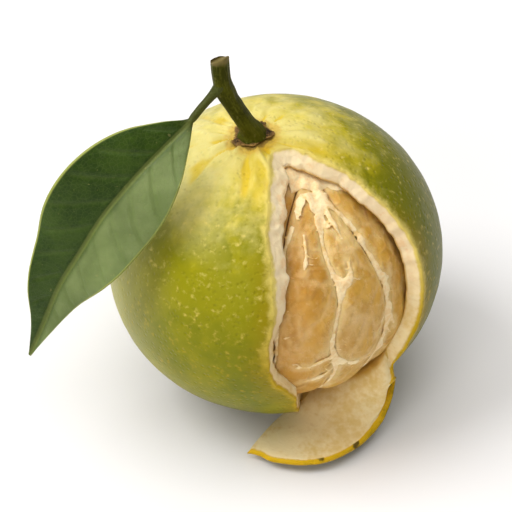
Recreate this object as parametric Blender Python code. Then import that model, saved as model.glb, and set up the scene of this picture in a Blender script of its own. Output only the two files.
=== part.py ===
"""A tangerine on its stem, with one leaf. Its thick peel is torn open at the front and the torn part is
folded down on the table, so that the ball of segments shows inside.

The origin is the middle of the small flat spot that the fruit rests on. +Z is up and the torn window faces
-Y. Directions on the fruit are given as (longitude, latitude) in degrees, in the frame of the leaning
fruit: longitude -90 is the front, and latitude 90 is the stem.
"""

from math import cos, exp, hypot, pi, radians, sin, sqrt

import bmesh
import bpy
from mathutils import Matrix, Vector

MM = 0.001
GAP = 0.3 * MM  # kept between any two pieces that touch

# The fruit.
EQUATOR_RADIUS = 31.0 * MM
POLE_RADIUS = 28.3 * MM
LEAN = 8.5  # degrees that the stem end leans towards -X
FLAT_PRESS = 0.5 * MM  # how far the fruit has settled on its flat spot
DIMPLE_DEPTH = 0.7 * MM
DIMPLE_RADIUS = 5.0 * MM

# The peel, and the window torn in it: down its right edge, along the hinge, and up its left edge.
PEEL_THICKNESS = 3.2 * MM
WINDOW_MIDDLE = (-60, 8)
RIGHT_EDGE = [(-38, 77), (-27, 73), (-26, 64), (-24, 54), (-26, 40), (-27, 21), (-29, 6), (-33, -7),
              (-38, -19)]
HINGE = [(-40, -29), (-43, -40), (-52, -50), (-66, -57), (-80, -60)]
LEFT_EDGE = [(-87, -50), (-86, -34), (-86, -18), (-91, -4), (-91, 9), (-87, 24), (-87, 38), (-84, 54),
             (-77, 68), (-60, 78)]
WINDOW_SAMPLES = 600  # fine steps that the window's outline is measured in
WINDOW_COLUMNS = 72
PEEL_ROWS = 18

# The flap's rim from right to left: how far each point is from the hinge beside it along X and Y, and its
# height, in mm.
FLAP_RIM = [(0.2, -0.7, 12.3), (1.1, -2.6, 6.9), (1.0, -6.2, 3.7), (-0.3, -10.3, 2.4), (-2.8, -14.0, 2.0),
            (-6.4, -15.8, 1.7), (-10.0, -15.0, 1.5), (-11.4, -12.4, 1.2)]
FLAP_THICKNESS = 2.0 * MM
FLAP_DIP = 1.4 * MM  # how far the flap sags below its rim
FLAP_BEND_AT = 0.45  # where it sags most, as a share of the way to its rim
FLAP_BULGE = 0.2  # how far its sides bow out at the bend, as a share of the way to its rim
FLAP_LIFT = 0.2 * MM  # the least height of its skin side above the table
FLAP_ROWS = 6

# The ball of segments: its room in the cavity, its place and axis, and how wide each segment is, in degrees.
BALL_ROOM = 3.2 * MM
BALL_POLE_ROOM = 1.9 * MM
BALL_OFFSET = Vector((0.3, -1.6, -0.8)) * MM
BALL_AXIS = Vector((0.17, -0.08, 0.98))
CORE_RADIUS = 1.2 * MM
FURROW_DEPTH = 1.0 * MM
FIRST_FURROW = -68
SEGMENT_SPANS = [25, 31, 33, 30, 29, 32, 31, 28, 33, 30, 31, 27]
SEGMENT_TOP = 82  # the latitude where a segment's back meets its core edge
PROFILE_POINTS = 13
SEGMENT_STEPS = 6

# The pith strands in three furrows: which furrow, and from which latitude to which.
STRANDS = {"strand_middle": (0, -36, 66), "strand_right": (1, -32, 66), "strand_left": (11, -28, 60)}
STRAND_POINTS = 22
STRAND_RADIUS = 0.5 * MM
STRAND_SINK = 0.55  # how far a strand sinks into its furrow, as a share of the furrow's depth

# The calyx and the stem that stands on it.
CALYX_RADIUS = 3.7 * MM
CALYX_THICKNESS = 0.8 * MM
CALYX_LOBES = 5
CALYX_SIDES = 30
CALYX_WAVE = 0.2  # how far the lobes stand out, as a share of its radius
CALYX_RINGS = [0.15, 0.5, 0.8, 1.0]  # shares of its radius
CALYX_TOP_SHRINK = 0.97  # how much smaller its top is than its underside
CALYX_RIM_THINNING = 0.5  # the share of its thickness that is gone at the rim
STEM_FOOT_RADIUS = 2.8 * MM
STEM_RADIUS = 1.6 * MM
STEM_NODE_RADIUS = 1.9 * MM
STEM_PATH = [(0.0, 0.0, 0.0), (-0.2, -0.3, 1.5), (-1.4, -1.0, 4.0), (-3.0, -1.4, 7.3), (-4.3, -1.7, 10.1),
             (-5.1, -1.9, 12.8), (-5.4, -2.0, 15.5), (-5.5, -2.2, 18.5)]  # from its foot
STEM_FLARE = 0.145  # how far up the flare reaches, as a share of its path
PATH_NUDGE = 0.01  # the step along a path that its direction is measured over, as a share of it
STEM_STEPS = 16
STEM_SIDES = 12
STEM_NODE_AT = 0.62  # where the leaf joins it, as a share of its path
STEM_NODE_SPAN = 0.08

# The leaf: a petiole, then the blade along its midrib.
PETIOLE_RADIUS = 0.85 * MM
PETIOLE_CLEARANCE = 0.25 * MM  # more room at the node, because the petiole's end is cut straight
LEAF_PATH = [(-4.2, -2.6, -2.7), (-6.3, -4.3, -4.3), (-10.3, -7.3, -6.4), (-14.8, -10.3, -9.9),
             (-20.8, -13.3, -16.4), (-25.3, -15.3, -23.4), (-29.3, -16.3, -30.4), (-32.8, -16.8, -39.4),
             (-35.8, -17.3, -46.9)]  # from the stem's node
BLADE_START = 0.1  # where the petiole ends, as a share of the path's length
PETIOLE_FADE = 0.08  # how soon the petiole flattens into the blade, as a share of the blade's length
BLADE_HALF_WIDTHS = [0, 3.5, 6.9, 9.2, 10.2, 10.2, 9.5, 8.0, 6.3, 4.5, 2.8, 1.4, 0.3]  # mm, from base to tip
BLADE_THICKNESS = 0.5 * MM
BLADE_FOLD = 16  # degrees that each half rises from flat
BLADE_FACING = Vector((-0.2, -0.9, 0.38))
LEAF_STEPS = 26
LEAF_SIDES = 16

BALL_RADIUS = EQUATOR_RADIUS - PEEL_THICKNESS - BALL_ROOM
BALL_POLE_RADIUS = POLE_RADIUS - PEEL_THICKNESS - BALL_POLE_ROOM
CENTRE_HEIGHT = hypot(EQUATOR_RADIUS * sin(radians(LEAN)), POLE_RADIUS * cos(radians(LEAN))) - FLAT_PRESS
FRUIT_CENTRE = Vector((0, 0, CENTRE_HEIGHT))
FRUIT_FRAME = Matrix.Translation(FRUIT_CENTRE) @ Matrix.Rotation(radians(-LEAN), 4, "Y")


def clear_scene():
    for item in list(bpy.data.objects):
        bpy.data.objects.remove(item, do_unlink=True)


def plain_material(name, colour, roughness):
    material = bpy.data.materials.new(name)
    material.use_nodes = True
    shader = material.node_tree.nodes["Principled BSDF"]
    shader.inputs["Base Color"].default_value = (*colour, 1)
    shader.inputs["Roughness"].default_value = roughness
    material.diffuse_color = (*colour, 1)
    return material


def add_object(name, bm, material):
    """Makes a named object of the bmesh, shaded smooth, and frees it."""
    mesh = bpy.data.meshes.new(name)
    bmesh.ops.recalc_face_normals(bm, faces=bm.faces)
    bm.to_mesh(mesh)
    bm.free()
    mesh.materials.append(material)
    mesh.shade_smooth()
    made = bpy.data.objects.new(name, mesh)
    bpy.context.collection.objects.link(made)
    return made


def loft(rings):
    """A closed solid through rings of equally many points, capped at both ends."""
    bm = bmesh.new()
    rows = [[bm.verts.new(point) for point in ring] for ring in rings]
    for low, high in zip(rows, rows[1:]):
        for i in range(len(low)):
            j = (i + 1) % len(low)
            bm.faces.new((low[i], low[j], high[j], high[i]))
    bm.faces.new(rows[0])
    bm.faces.new(rows[-1])
    return bm


def angles(sides):
    return [2 * pi * i / sides for i in range(sides)]


def spline_point(points, share, closed=False):
    """A point on the smooth curve through all the points, `share` of the way along them."""
    spans = len(points) if closed else len(points) - 1
    at = min(share, 0.999999) * spans
    first = int(at)
    t = at - first

    def control(i):
        return points[i % len(points)] if closed else points[max(0, min(i, len(points) - 1))]

    a, b, c, d = (control(first + i) for i in (-1, 0, 1, 2))
    return 0.5 * (2 * b + (c - a) * t + (2 * a - 5 * b + 4 * c - d) * t**2 + (3 * b - a - 3 * c + d) * t**3)


def direction(longitude, latitude):
    lon, lat = radians(longitude), radians(latitude)
    return Vector((cos(lat) * cos(lon), cos(lat) * sin(lon), sin(lat)))


def skin_in_fruit_frame(way):
    """The point where a ray from the fruit's centre leaves the skin, with the dimple at the stem."""
    reach = 1 / sqrt((way.x**2 + way.y**2) / EQUATOR_RADIUS**2 + way.z**2 / POLE_RADIUS**2)
    point = way * reach
    if point.z > 0:
        point.z -= DIMPLE_DEPTH * exp(-((hypot(point.x, point.y) / DIMPLE_RADIUS) ** 2))
    return point


def skin_point(way):
    """The same point on the table, where the skin is pressed flat."""
    point = FRUIT_FRAME @ skin_in_fruit_frame(way)
    point.z = max(point.z, 0)
    return point


def window_outline():
    """Directions round the window's edge, evenly spaced, and which of them the hinge takes."""
    corners = [direction(*corner) for corner in RIGHT_EDGE + HINGE + LEFT_EDGE]
    steps = range(WINDOW_SAMPLES)
    fine = [spline_point(corners, i / WINDOW_SAMPLES, closed=True).normalized() for i in steps]
    lengths = [0]
    for here, after in zip(fine, fine[1:] + fine[:1]):
        lengths.append(lengths[-1] + (after - here).length)
    hinge_from = lengths[WINDOW_SAMPLES * len(RIGHT_EDGE) // len(corners)] / lengths[-1]
    hinge_to = lengths[WINDOW_SAMPLES * (len(RIGHT_EDGE) + len(HINGE) - 1) // len(corners)] / lengths[-1]
    outline = []
    for column in range(WINDOW_COLUMNS):
        wanted = lengths[-1] * column / WINDOW_COLUMNS
        index = max(i for i in steps if lengths[i] <= wanted)
        outline.append(fine[index])
    hinge = [c for c in range(WINDOW_COLUMNS) if hinge_from <= c / WINDOW_COLUMNS <= hinge_to]
    return outline, hinge


def flap_point(hinge_point, outward, along, across):
    """A point of the flap's skin side, `along` the hinge from right to left and `across` it to the rim."""
    rim = spline_point([Vector(point) * MM for point in FLAP_RIM], along)
    rim += Vector((hinge_point.x, hinge_point.y, 0))
    bulge = FLAP_BULGE * (1 - 2 * along) * (rim - hinge_point).length
    bend = hinge_point.lerp(rim, FLAP_BEND_AT) + outward * bulge
    bend.z = min(hinge_point.z, rim.z) - FLAP_DIP
    point = (1 - across) ** 2 * hinge_point + 2 * across * (1 - across) * bend + across**2 * rim
    point.z = max(point.z, FLAP_LIFT)
    return point


def add_peel(material):
    """The skin side as one sheet, from the window's edge round to the back and out along the flap."""
    middle = direction(*WINDOW_MIDDLE)
    outline, hinge = window_outline()
    bm = bmesh.new()
    rows = [[bm.verts.new(skin_point(way)) for way in outline]]
    back = bm.verts.new(skin_point(-middle))
    for row in range(1, PEEL_ROWS):
        ring = []
        for way in outline:
            turn = middle.cross(way).normalized()
            angle = way.angle(-middle) * row / PEEL_ROWS
            ring.append(bm.verts.new(skin_point(Matrix.Rotation(angle, 3, turn) @ way)))
        rows.append(ring)
    for near, far in zip(rows, rows[1:]):
        for i in range(WINDOW_COLUMNS):
            j = (i + 1) % WINDOW_COLUMNS
            bm.faces.new((near[i], near[j], far[j], far[i]))
    for i in range(WINDOW_COLUMNS):
        bm.faces.new((rows[-1][i], rows[-1][(i + 1) % WINDOW_COLUMNS], back))

    strip = [rows[0][column] for column in hinge]
    flap_verts = []
    for row in range(1, FLAP_ROWS + 1):
        ring = []
        for place, column in enumerate(hinge):
            edge = rows[0][column].co
            outward = Vector((edge.x, edge.y, 0)).normalized()
            point = flap_point(edge, outward, place / (len(hinge) - 1), row / FLAP_ROWS)
            ring.append(bm.verts.new(point))
        for i in range(len(hinge) - 1):
            bm.faces.new((strip[i], strip[i + 1], ring[i + 1], ring[i]))
        strip = ring
        flap_verts += ring
    bm.verts.index_update()
    thin = [vert.index for vert in flap_verts]
    peel = add_object("peel", bm, material)
    thick = peel.vertex_groups.new(name="full_thickness")
    thick.add([i for i in range(len(peel.data.vertices)) if i not in thin], 1.0, "REPLACE")
    wall = peel.modifiers.new("wall", "SOLIDIFY")
    wall.thickness = PEEL_THICKNESS
    wall.offset = -1
    wall.vertex_group = thick.name
    wall.thickness_vertex_group = FLAP_THICKNESS / PEEL_THICKNESS
    return peel


def ball_frame():
    """The frame of the ball of segments: its own axis up, and its longitudes counted as the fruit's are."""
    up = BALL_AXIS.normalized()
    right = Vector((0, 1, 0)).cross(up).normalized()
    turn = Matrix((right, up.cross(right), up)).transposed().to_4x4()
    return Matrix.Translation(FRUIT_CENTRE + BALL_OFFSET) @ turn


def ball_point(longitude, latitude, lift):
    """A point on the ball in its own frame. The ball has the cavity's shape, so it leans with the fruit."""
    way = direction(longitude, latitude)
    leaning = FRUIT_FRAME.to_3x3().inverted() @ (ball_frame().to_3x3() @ way)
    across = hypot(leaning.x, leaning.y) / BALL_RADIUS
    return way * (1 / hypot(across, leaning.z / BALL_POLE_RADIUS) + lift)


def furrow_longitude(index):
    return FIRST_FURROW + sum(SEGMENT_SPANS[:index])


def add_segment(index, material):
    """One wedge of the ball, bulging between its two furrows, moved out to clear its neighbours."""
    half = SEGMENT_SPANS[index] / 2
    middle = furrow_longitude(index) + half
    clear = direction(middle, 0) * GAP / 2 / sin(radians(half))
    rings = []
    for step in range(SEGMENT_STEPS + 1):
        turn = 2 * step / SEGMENT_STEPS - 1
        ring = []
        for i in range(PROFILE_POINTS):
            latitude = SEGMENT_TOP * (2 * i / (PROFILE_POINTS - 1) - 1)
            ring.append(ball_point(middle + half * turn, latitude, -FURROW_DEPTH * turn**4))
        for end in (ring[-1], ring[0]):
            ring.append(CORE_RADIUS * direction(middle + half * turn, 0) + Vector((0, 0, end.z)))
        rings.append([ball_frame() @ (point + clear) for point in ring])
    return add_object(f"segment_{index + 1:02d}", loft(rings), material)


def add_strand(name, material):
    """A strand of pith that lies in a furrow between two segments, as a bevelled curve with filled caps."""
    furrow, lowest, highest = STRANDS[name]
    lift = STRAND_RADIUS + GAP - STRAND_SINK * FURROW_DEPTH
    curve = bpy.data.curves.new(name, "CURVE")
    curve.dimensions = "3D"
    curve.bevel_depth = STRAND_RADIUS
    curve.bevel_resolution = 1
    curve.use_fill_caps = True
    spline = curve.splines.new("POLY")
    spline.points.add(STRAND_POINTS - 1)
    for i, point in enumerate(spline.points):
        latitude = lowest + (highest - lowest) * i / (STRAND_POINTS - 1)
        point.co = (*(ball_frame() @ ball_point(furrow_longitude(furrow), latitude, lift)), 1)
    curve.materials.append(material)
    strand = bpy.data.objects.new(name, curve)
    bpy.context.collection.objects.link(strand)
    return strand


def skin_height(out):
    """How high the skin lies in the fruit's frame, at a distance from the stem's axis."""
    dome = POLE_RADIUS * sqrt(1 - (out / EQUATOR_RADIUS) ** 2)
    return dome - DIMPLE_DEPTH * exp(-((out / DIMPLE_RADIUS) ** 2))


def calyx_top():
    return skin_height(0) + GAP + CALYX_THICKNESS


def add_calyx(material):
    """The lobed button at the foot of the stem, lying on the skin in the dimple."""
    under = [(share, 0) for share in CALYX_RINGS]
    over = []
    for share in reversed(CALYX_RINGS):
        over.append((CALYX_TOP_SHRINK * share, CALYX_THICKNESS * (1 - CALYX_RIM_THINNING * share**4)))
    rings = []
    for share, thickness in under + over:
        ring = []
        for angle in angles(CALYX_SIDES):
            out = CALYX_RADIUS * share * (1 + CALYX_WAVE * share * cos(CALYX_LOBES * angle))
            height = skin_height(out) + GAP + thickness
            ring.append(FRUIT_FRAME @ Vector((out * cos(angle), out * sin(angle), height)))
        rings.append(ring)
    return add_object("calyx", loft(rings), material)


def placed(path, start):
    return [start + Vector(point) * MM for point in path]


def stem_points():
    return placed(STEM_PATH, FRUIT_FRAME @ Vector((0, 0, calyx_top() + GAP)))


def leaf_points():
    """The leaf's path, starting just clear of the stem's node."""
    node = spline_point(stem_points(), STEM_NODE_AT)
    rest = placed(LEAF_PATH, node)
    clear = STEM_NODE_RADIUS + GAP + PETIOLE_CLEARANCE
    return [node + (rest[0] - node).normalized() * clear] + rest


def frames_along(points, steps):
    """Points along a smooth path with the direction it runs in at each."""
    for step in range(steps + 1):
        share = step / steps
        here = spline_point(points, share)
        after = spline_point(points, min(share + PATH_NUDGE, 1))
        before = spline_point(points, max(share - PATH_NUDGE, 0))
        yield share, here, (after - before).normalized()


def add_stem(material):
    """The pedicel, flared at its foot and thicker at the node where the leaf joins, up to the cut end."""
    axis = FRUIT_FRAME.to_3x3() @ Vector((0, 0, 1))
    rings = []
    for share, here, ahead in frames_along(stem_points(), STEM_STEPS):
        radius = STEM_RADIUS
        radius += (STEM_FOOT_RADIUS - STEM_RADIUS) * exp(-((share / STEM_FLARE) ** 2))
        radius += (STEM_NODE_RADIUS - STEM_RADIUS) * exp(-(((share - STEM_NODE_AT) / STEM_NODE_SPAN) ** 2))
        along = axis if share == 0 else ahead
        side = along.cross(Vector((0, 1, 0))).normalized()
        other = along.cross(side)
        rings.append([here + radius * (side * cos(a) + other * sin(a)) for a in angles(STEM_SIDES)])
    return add_object("stem", loft(rings), material)


def blade_half_width(share):
    """Half the blade's width, `share` of the way from its base to its tip."""
    return spline_point([Vector((width, 0)) for width in BLADE_HALF_WIDTHS], share).x * MM


def add_leaf(material):
    """The petiole as a round stalk that flattens into the blade, folded up a little along its midrib."""
    fold = radians(BLADE_FOLD)
    rings = []
    stations = list(frames_along(leaf_points(), LEAF_STEPS))
    lengths = [0]
    for (_, here, _), (_, after, _) in zip(stations, stations[1:]):
        lengths.append(lengths[-1] + (after - here).length)
    for length, (_, here, ahead) in zip(lengths, stations):
        side = ahead.cross(BLADE_FACING).normalized()
        face = side.cross(ahead)
        blade = max(0, (length / lengths[-1] - BLADE_START) / (1 - BLADE_START))
        round_share = exp(-((blade / PETIOLE_FADE) ** 2))
        width = max(blade_half_width(blade), PETIOLE_RADIUS * round_share, BLADE_THICKNESS)
        height = max(PETIOLE_RADIUS * round_share, BLADE_THICKNESS / 2)
        ring = []
        for angle in angles(LEAF_SIDES):
            out = width * cos(angle)
            rise = abs(out) * sin(fold) * (1 - round_share)
            ring.append(here + side * out * cos(fold) + face * (rise + height * sin(angle)))
        rings.append(ring)
    return add_object("leaf", loft(rings), material)


def build():
    clear_scene()
    skin = plain_material("peel_skin", (0.19, 0.2, 0.02), 0.4)
    membrane = plain_material("segment_membrane", (0.55, 0.36, 0.14), 0.55)
    pith = plain_material("pith", (0.8, 0.68, 0.45), 0.8)
    dry = plain_material("dry_calyx", (0.25, 0.14, 0.06), 0.8)
    bark = plain_material("green_stem", (0.09, 0.1, 0.02), 0.6)
    blade = plain_material("leaf_blade", (0.05, 0.12, 0.03), 0.35)
    add_peel(skin)
    for index in range(len(SEGMENT_SPANS)):
        add_segment(index, membrane)
    for name in STRANDS:
        add_strand(name, pith)
    add_calyx(dry)
    add_stem(bark)
    add_leaf(blade)


build()
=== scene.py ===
"""The looks of a tangerine on its stem, torn open at the front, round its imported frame."""

from math import cos, hypot, pi, radians, sin

import bmesh
import bpy
import numpy as np
from mathutils import Matrix, Vector, noise


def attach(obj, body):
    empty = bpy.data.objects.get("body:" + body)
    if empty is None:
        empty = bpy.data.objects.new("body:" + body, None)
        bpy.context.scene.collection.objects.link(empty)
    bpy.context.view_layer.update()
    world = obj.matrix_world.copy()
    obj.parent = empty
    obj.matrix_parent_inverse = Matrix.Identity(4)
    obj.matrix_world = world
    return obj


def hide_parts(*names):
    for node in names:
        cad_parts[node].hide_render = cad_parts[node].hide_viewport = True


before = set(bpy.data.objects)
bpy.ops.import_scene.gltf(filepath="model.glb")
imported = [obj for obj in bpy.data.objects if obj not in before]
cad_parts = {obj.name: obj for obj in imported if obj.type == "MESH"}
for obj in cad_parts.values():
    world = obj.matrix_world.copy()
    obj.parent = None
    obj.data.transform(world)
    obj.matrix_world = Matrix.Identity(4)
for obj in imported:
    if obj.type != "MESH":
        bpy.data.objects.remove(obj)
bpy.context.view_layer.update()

MM = 0.001

# The fruit and the window torn in its peel, the same as in the frame.
EQUATOR_RADIUS = 31.0 * MM
POLE_RADIUS = 28.3 * MM
LEAN = 8.5
FLAT_PRESS = 0.5 * MM
DIMPLE_DEPTH = 0.7 * MM
DIMPLE_RADIUS = 5.0 * MM
PEEL_THICKNESS = 3.2 * MM
WINDOW_MIDDLE = (-60, 8)
RIGHT_EDGE = [(-38, 77), (-27, 73), (-26, 64), (-24, 54), (-26, 40), (-27, 21), (-29, 6), (-33, -7),
              (-38, -19)]
HINGE = [(-40, -29), (-43, -40), (-52, -50), (-66, -57), (-80, -60)]
LEFT_EDGE = [(-87, -50), (-86, -34), (-86, -18), (-91, -4), (-91, 9), (-87, 24), (-87, 38), (-84, 54),
             (-77, 68), (-60, 78)]
FLAP_RIM = [(0.2, -0.7, 12.3), (1.1, -2.6, 6.9), (1.0, -6.2, 3.7), (-0.3, -10.3, 2.4), (-2.8, -14.0, 2.0),
            (-6.4, -15.8, 1.7), (-10.0, -15.0, 1.5), (-11.4, -12.4, 1.2)]
FLAP_THICKNESS = 2.0 * MM
FLAP_DIP = 1.4 * MM
FLAP_BEND_AT = 0.45
FLAP_BULGE = 0.2
FLAP_LIFT = 0.2 * MM

# The ball of segments, the same as in the frame.
BALL_RADIUS = 24.6 * MM
BALL_POLE_RADIUS = 23.2 * MM
BALL_OFFSET = Vector((0.3, -1.6, -0.8)) * MM
BALL_AXIS = Vector((0.17, -0.08, 0.98))
CORE_RADIUS = 1.2 * MM
FIRST_FURROW = -68
SEGMENT_SPANS = [25, 31, 33, 30, 29, 32, 31, 28, 33, 30, 31, 27]
SEGMENT_TOP = 84
BALL_SWELL = 1.7 * MM  # how far the ball swells towards the window and the top
BALL_MIDDLE_SWELL = 0.9 * MM  # and how much further in the window's middle
SHOWN_SEGMENTS = (0, 1, 2, 10, 11)
SEGMENT_FINE = (150, 120)  # rings and columns of a segment that shows
SEGMENT_COARSE = (70, 56)  # and of one that doesn't
BACK_SHARE = 0.62  # the bulging back's share of a ring, with the flat sides in the rest
FURROW_DEPTH = 0.8 * MM
FURROW_CREASE = 0.5 * MM
TIP_DROP = 0.8 * MM
SEGMENT_GAP = 0.12 * MM
CORE_SHARE = 0.9  # how far up and down the thin inner edge reaches, of the ball's height
NET_TUBE = 1.0 * MM
NET_FLATNESS = 0.3  # how much of its height a strand keeps on the ball
NET_VOXEL = 0.14 * MM
NET_SINK = 0.7 * MM  # into a furrow

# The stem and the leaf, nearly the same as in the frame. The petiole starts inside the stem.
CALYX_HEIGHT = 0.1 * MM  # the stem's foot above the skin, inside the calyx
CALYX_CLEARANCE = 0.3 * MM
CALYX_LOBES = 5
CALYX_RADIUS = 3.1 * MM  # between its lobes
CALYX_LOBE = 1.1 * MM
CALYX_FRAY = 0.35 * MM
CALYX_HALVES = (0.5 * MM, 0.15 * MM)  # how thick it is above and below its rim
CALYX_CURL = 0.2 * MM
STEM_FOOT_RADIUS = 2.7 * MM
STEM_RADIUS = 1.6 * MM
STEM_NODE_RADIUS = 1.75 * MM
STEM_PATH = [(0.0, 0.0, 0.0), (-0.2, -0.3, 1.5), (-1.4, -1.0, 4.0), (-3.0, -1.4, 7.3), (-4.3, -1.7, 10.1),
             (-5.1, -1.9, 12.8), (-5.4, -2.0, 15.5), (-5.5, -2.2, 18.5)]
STEM_FLARE = 0.145
STEM_NODE_AT = 0.62
STEM_NODE_SPAN = 0.08
STEM_RIDGE = 0.06 * MM
STEM_FINE_RIDGE = 0.02 * MM
CUT_START = 0.93
CUT_SLANT = (0.55, -0.75, 0)
CUT_DROP = 0.3 * MM
CUT_HOLLOW = 0.35 * MM
PETIOLE_RADIUS = 0.85 * MM
LEAF_PATH = [(-0.2, -0.2, 2.0), (-4.0, -2.6, -1.5), (-6.3, -4.3, -3.7), (-10.3, -7.3, -6.4),
             (-14.8, -10.3, -9.9), (-20.8, -13.3, -16.4), (-25.3, -15.3, -23.4), (-29.3, -16.3, -30.4),
             (-32.8, -16.8, -39.4), (-35.8, -17.3, -46.9)]
BLADE_START = 0.115  # where the petiole ends, as a share of the path's length
BLADE_HALF_WIDTH = 10.2 * MM
BLADE_HALF_WIDTHS = [0, 3.5, 6.9, 9.2, 10.2, 10.2, 9.5, 8.0, 6.3, 4.5, 2.8, 1.4, 0.3]  # mm, base to tip
BLADE_FOLD = 16
BLADE_DROOP = 0.54 * MM  # of its widest part
VEIN_DEPTH = 0.26 * MM
MIDRIB_DEPTH = 0.34 * MM
RIB_HEIGHT = 0.35 * MM  # of the midrib under the blade
WAVE_HEIGHT = 0.9 * MM
WAVES = 17  # radians of the rim's wave along the blade
STALK_FADE = 0.045  # the share of the blade in which the stalk flattens
LEAST_HALF_WIDTH = 0.3 * MM
BLADE_HALF_THICKNESS = 0.22 * MM
BLADE_FACING = Vector((-0.2, -0.9, 0.38))

CENTRE_HEIGHT = hypot(EQUATOR_RADIUS * sin(radians(LEAN)), POLE_RADIUS * cos(radians(LEAN))) - FLAT_PRESS
CENTRE = Vector((0, 0, CENTRE_HEIGHT))
FRUIT_FRAME = Matrix.Translation(CENTRE) @ Matrix.Rotation(radians(-LEAN), 4, "Y")

# How finely the peel is made: columns round the window, and rows along the flap, the torn face and the skin.
COLUMNS = 360
COLUMN_WIDTH = 0.42 * MM
FLAP_ROWS = 36
TORN_ROWS = 8
SKIN_ROWS = 94
SKIN_FROM = FLAP_ROWS + TORN_ROWS  # the row at the skin's edge
PEEL_ROWS = FLAP_ROWS + TORN_ROWS + SKIN_ROWS + 1
# How far the torn face slopes into the window: (share of the way round it, mm).
TORN_REACH = [(0, 2.6), (0.03, 1.8), (0.08, 1.0), (0.2, 0.6), (0.33, 0.6), (0.4, 0.6), (0.53, 0.35),
              (0.69, 0.3), (0.76, 1.2), (0.82, 2.8), (0.9, 3.6), (0.96, 3.4), (1, 2.6)]
LEAST_REACH = 0.35 * MM  # at the hinge, where nothing is torn
# How deep it goes by then, as a share of the wall.
TORN_DEPTH = [(0, 0.75), (0.1, 0.8), (0.33, 0.9), (0.55, 0.85), (0.71, 0.85), (0.78, 0.75), (0.93, 0.75),
              (1, 0.75)]
HINGE_BLEND = 9  # rows of skin above the hinge whose inner side bends over with the flap
RIM_DEPTH = [(0, 0.1), (1, 0.3), (2, 0.75), (3, 3.2)]  # mm of depth coloured, by rows from the flap's rim
FAR = 99 * MM  # further than any edge or the stem matters
LEAST_INSIDE_HEIGHT = 0.6 * MM  # of the wall's inner side above the table
HINGE_EASE = 5 * MM  # along which the torn edge sets in beside the hinge
OUTLINE_SAMPLES = 1800
FLAVEDO = 0.6 * MM  # the coloured layer of the rind
FLAVEDO_SHARE = 0.2  # how much of the torn face's slope it takes
FLAP_SCARS = [(0.0147, -0.0254), (0.0084, -0.0286)]  # two small dark marks on the flap's rim

# Uneven surfaces, as layers of lumps: (mm high, mm wide, seed).
RAGGED_EDGE = [(0.7, 8, 1), (0.35, 2.4, 2), (0.25, 1.2, 16)]
SKIN_RELIEF = [(0.12, 9, 5), (0.06, 2.6, 6)]
WALL_RELIEF = [(0.25, 5, 8), (0.12, 1.6, 9)]
FLAP_RELIEF = [(0.22, 5, 12), (0.07, 1.6, 13)]
MEMBRANE_RELIEF = [(0.4, 6, 24), (0.1, 1.6, 25)]
NET_RELIEF = [(0.14, 1.6, 31), (0.05, 0.6, 32)]
CALYX_RELIEF = [(0.12, 0.8, 41)]
STEM_RELIEF = [(0.06, 1.8, 51)]
LEAF_RELIEF = [(0.06, 1.2, 61)]
WRINKLE_HEIGHT = 0.85 * MM  # of the wrinkles that run out from the stem


# ---------------------------------------------------------------- small helpers


def deselect():
    """Leaves nothing selected, so that an operator acts only on what is added next."""
    if bpy.context.object and bpy.context.object.mode != "OBJECT":
        bpy.ops.object.mode_set(mode="OBJECT")
    bpy.ops.object.select_all(action="DESELECT")


def only(piece):
    deselect()
    piece.select_set(True)
    bpy.context.view_layer.objects.active = piece


def apply_modifier(piece, kind, **settings):
    only(piece)
    modifier = piece.modifiers.new("shape", kind)
    for key, value in settings.items():
        setattr(modifier, key, value)
    bpy.ops.object.modifier_apply(modifier=modifier.name)


def places(piece):
    found = np.zeros(len(piece.data.vertices) * 3)
    piece.data.vertices.foreach_get("co", found)
    return found.reshape(-1, 3)


def move_to(piece, points):
    piece.data.vertices.foreach_set("co", np.ascontiguousarray(points, dtype=np.float64).ravel())
    piece.data.update()


def keep_values(piece, **named):
    """Keeps numbers for each vertex under their names, for the piece's material to read."""
    for name, values in named.items():
        attribute = piece.data.attributes.new(name, "FLOAT", "POINT")
        attribute.data.foreach_set("value", np.ascontiguousarray(values, dtype=np.float32))


def edit_chosen(piece, chosen):
    """Opens a piece for editing with only the chosen vertices selected."""
    only(piece)
    bpy.ops.object.mode_set(mode="EDIT")
    bm = bmesh.from_edit_mesh(piece.data)
    bm.verts.ensure_lookup_table()
    for vert in bm.verts:
        vert.select_set(bool(chosen[vert.index]))
    bm.select_flush_mode()
    bmesh.update_edit_mesh(piece.data)


def faces_outwards(piece):
    only(piece)
    bpy.ops.object.mode_set(mode="EDIT")
    bpy.ops.mesh.select_all(action="SELECT")
    bpy.ops.mesh.normals_make_consistent(inside=False)
    bpy.ops.object.mode_set(mode="OBJECT")


def finish_piece(piece, material, nodes):
    """Smooth shading and its material, and what it rides on and stands for."""
    piece.data.materials.clear()
    piece.data.materials.append(material)
    only(piece)
    bpy.ops.object.shade_smooth()
    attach(piece, "root")
    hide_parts(*nodes)


def added(name):
    piece = bpy.context.object
    piece.name = name
    piece.data.name = name
    return piece


def new_ball(name, rings, columns):
    """A plain ball, for a piece to be shaped from."""
    bpy.ops.mesh.primitive_uv_sphere_add(segments=columns, ring_count=rings, radius=1)
    return added(name)


def lumps(points, size, seed):
    """Smooth random values from -1 to 1, with lumps of about that size."""
    shift = Vector((7.31 * seed, 3.17 * seed, 5.79 * seed))
    return np.array([noise.noise(Vector(point) / size + shift) for point in points])


def roughness(points, layers, start=0):
    """Layers of lumps added together, on top of a starting value."""
    return sum((high * MM * lumps(points, wide * MM, seed) for high, wide, seed in layers), start)


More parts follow.
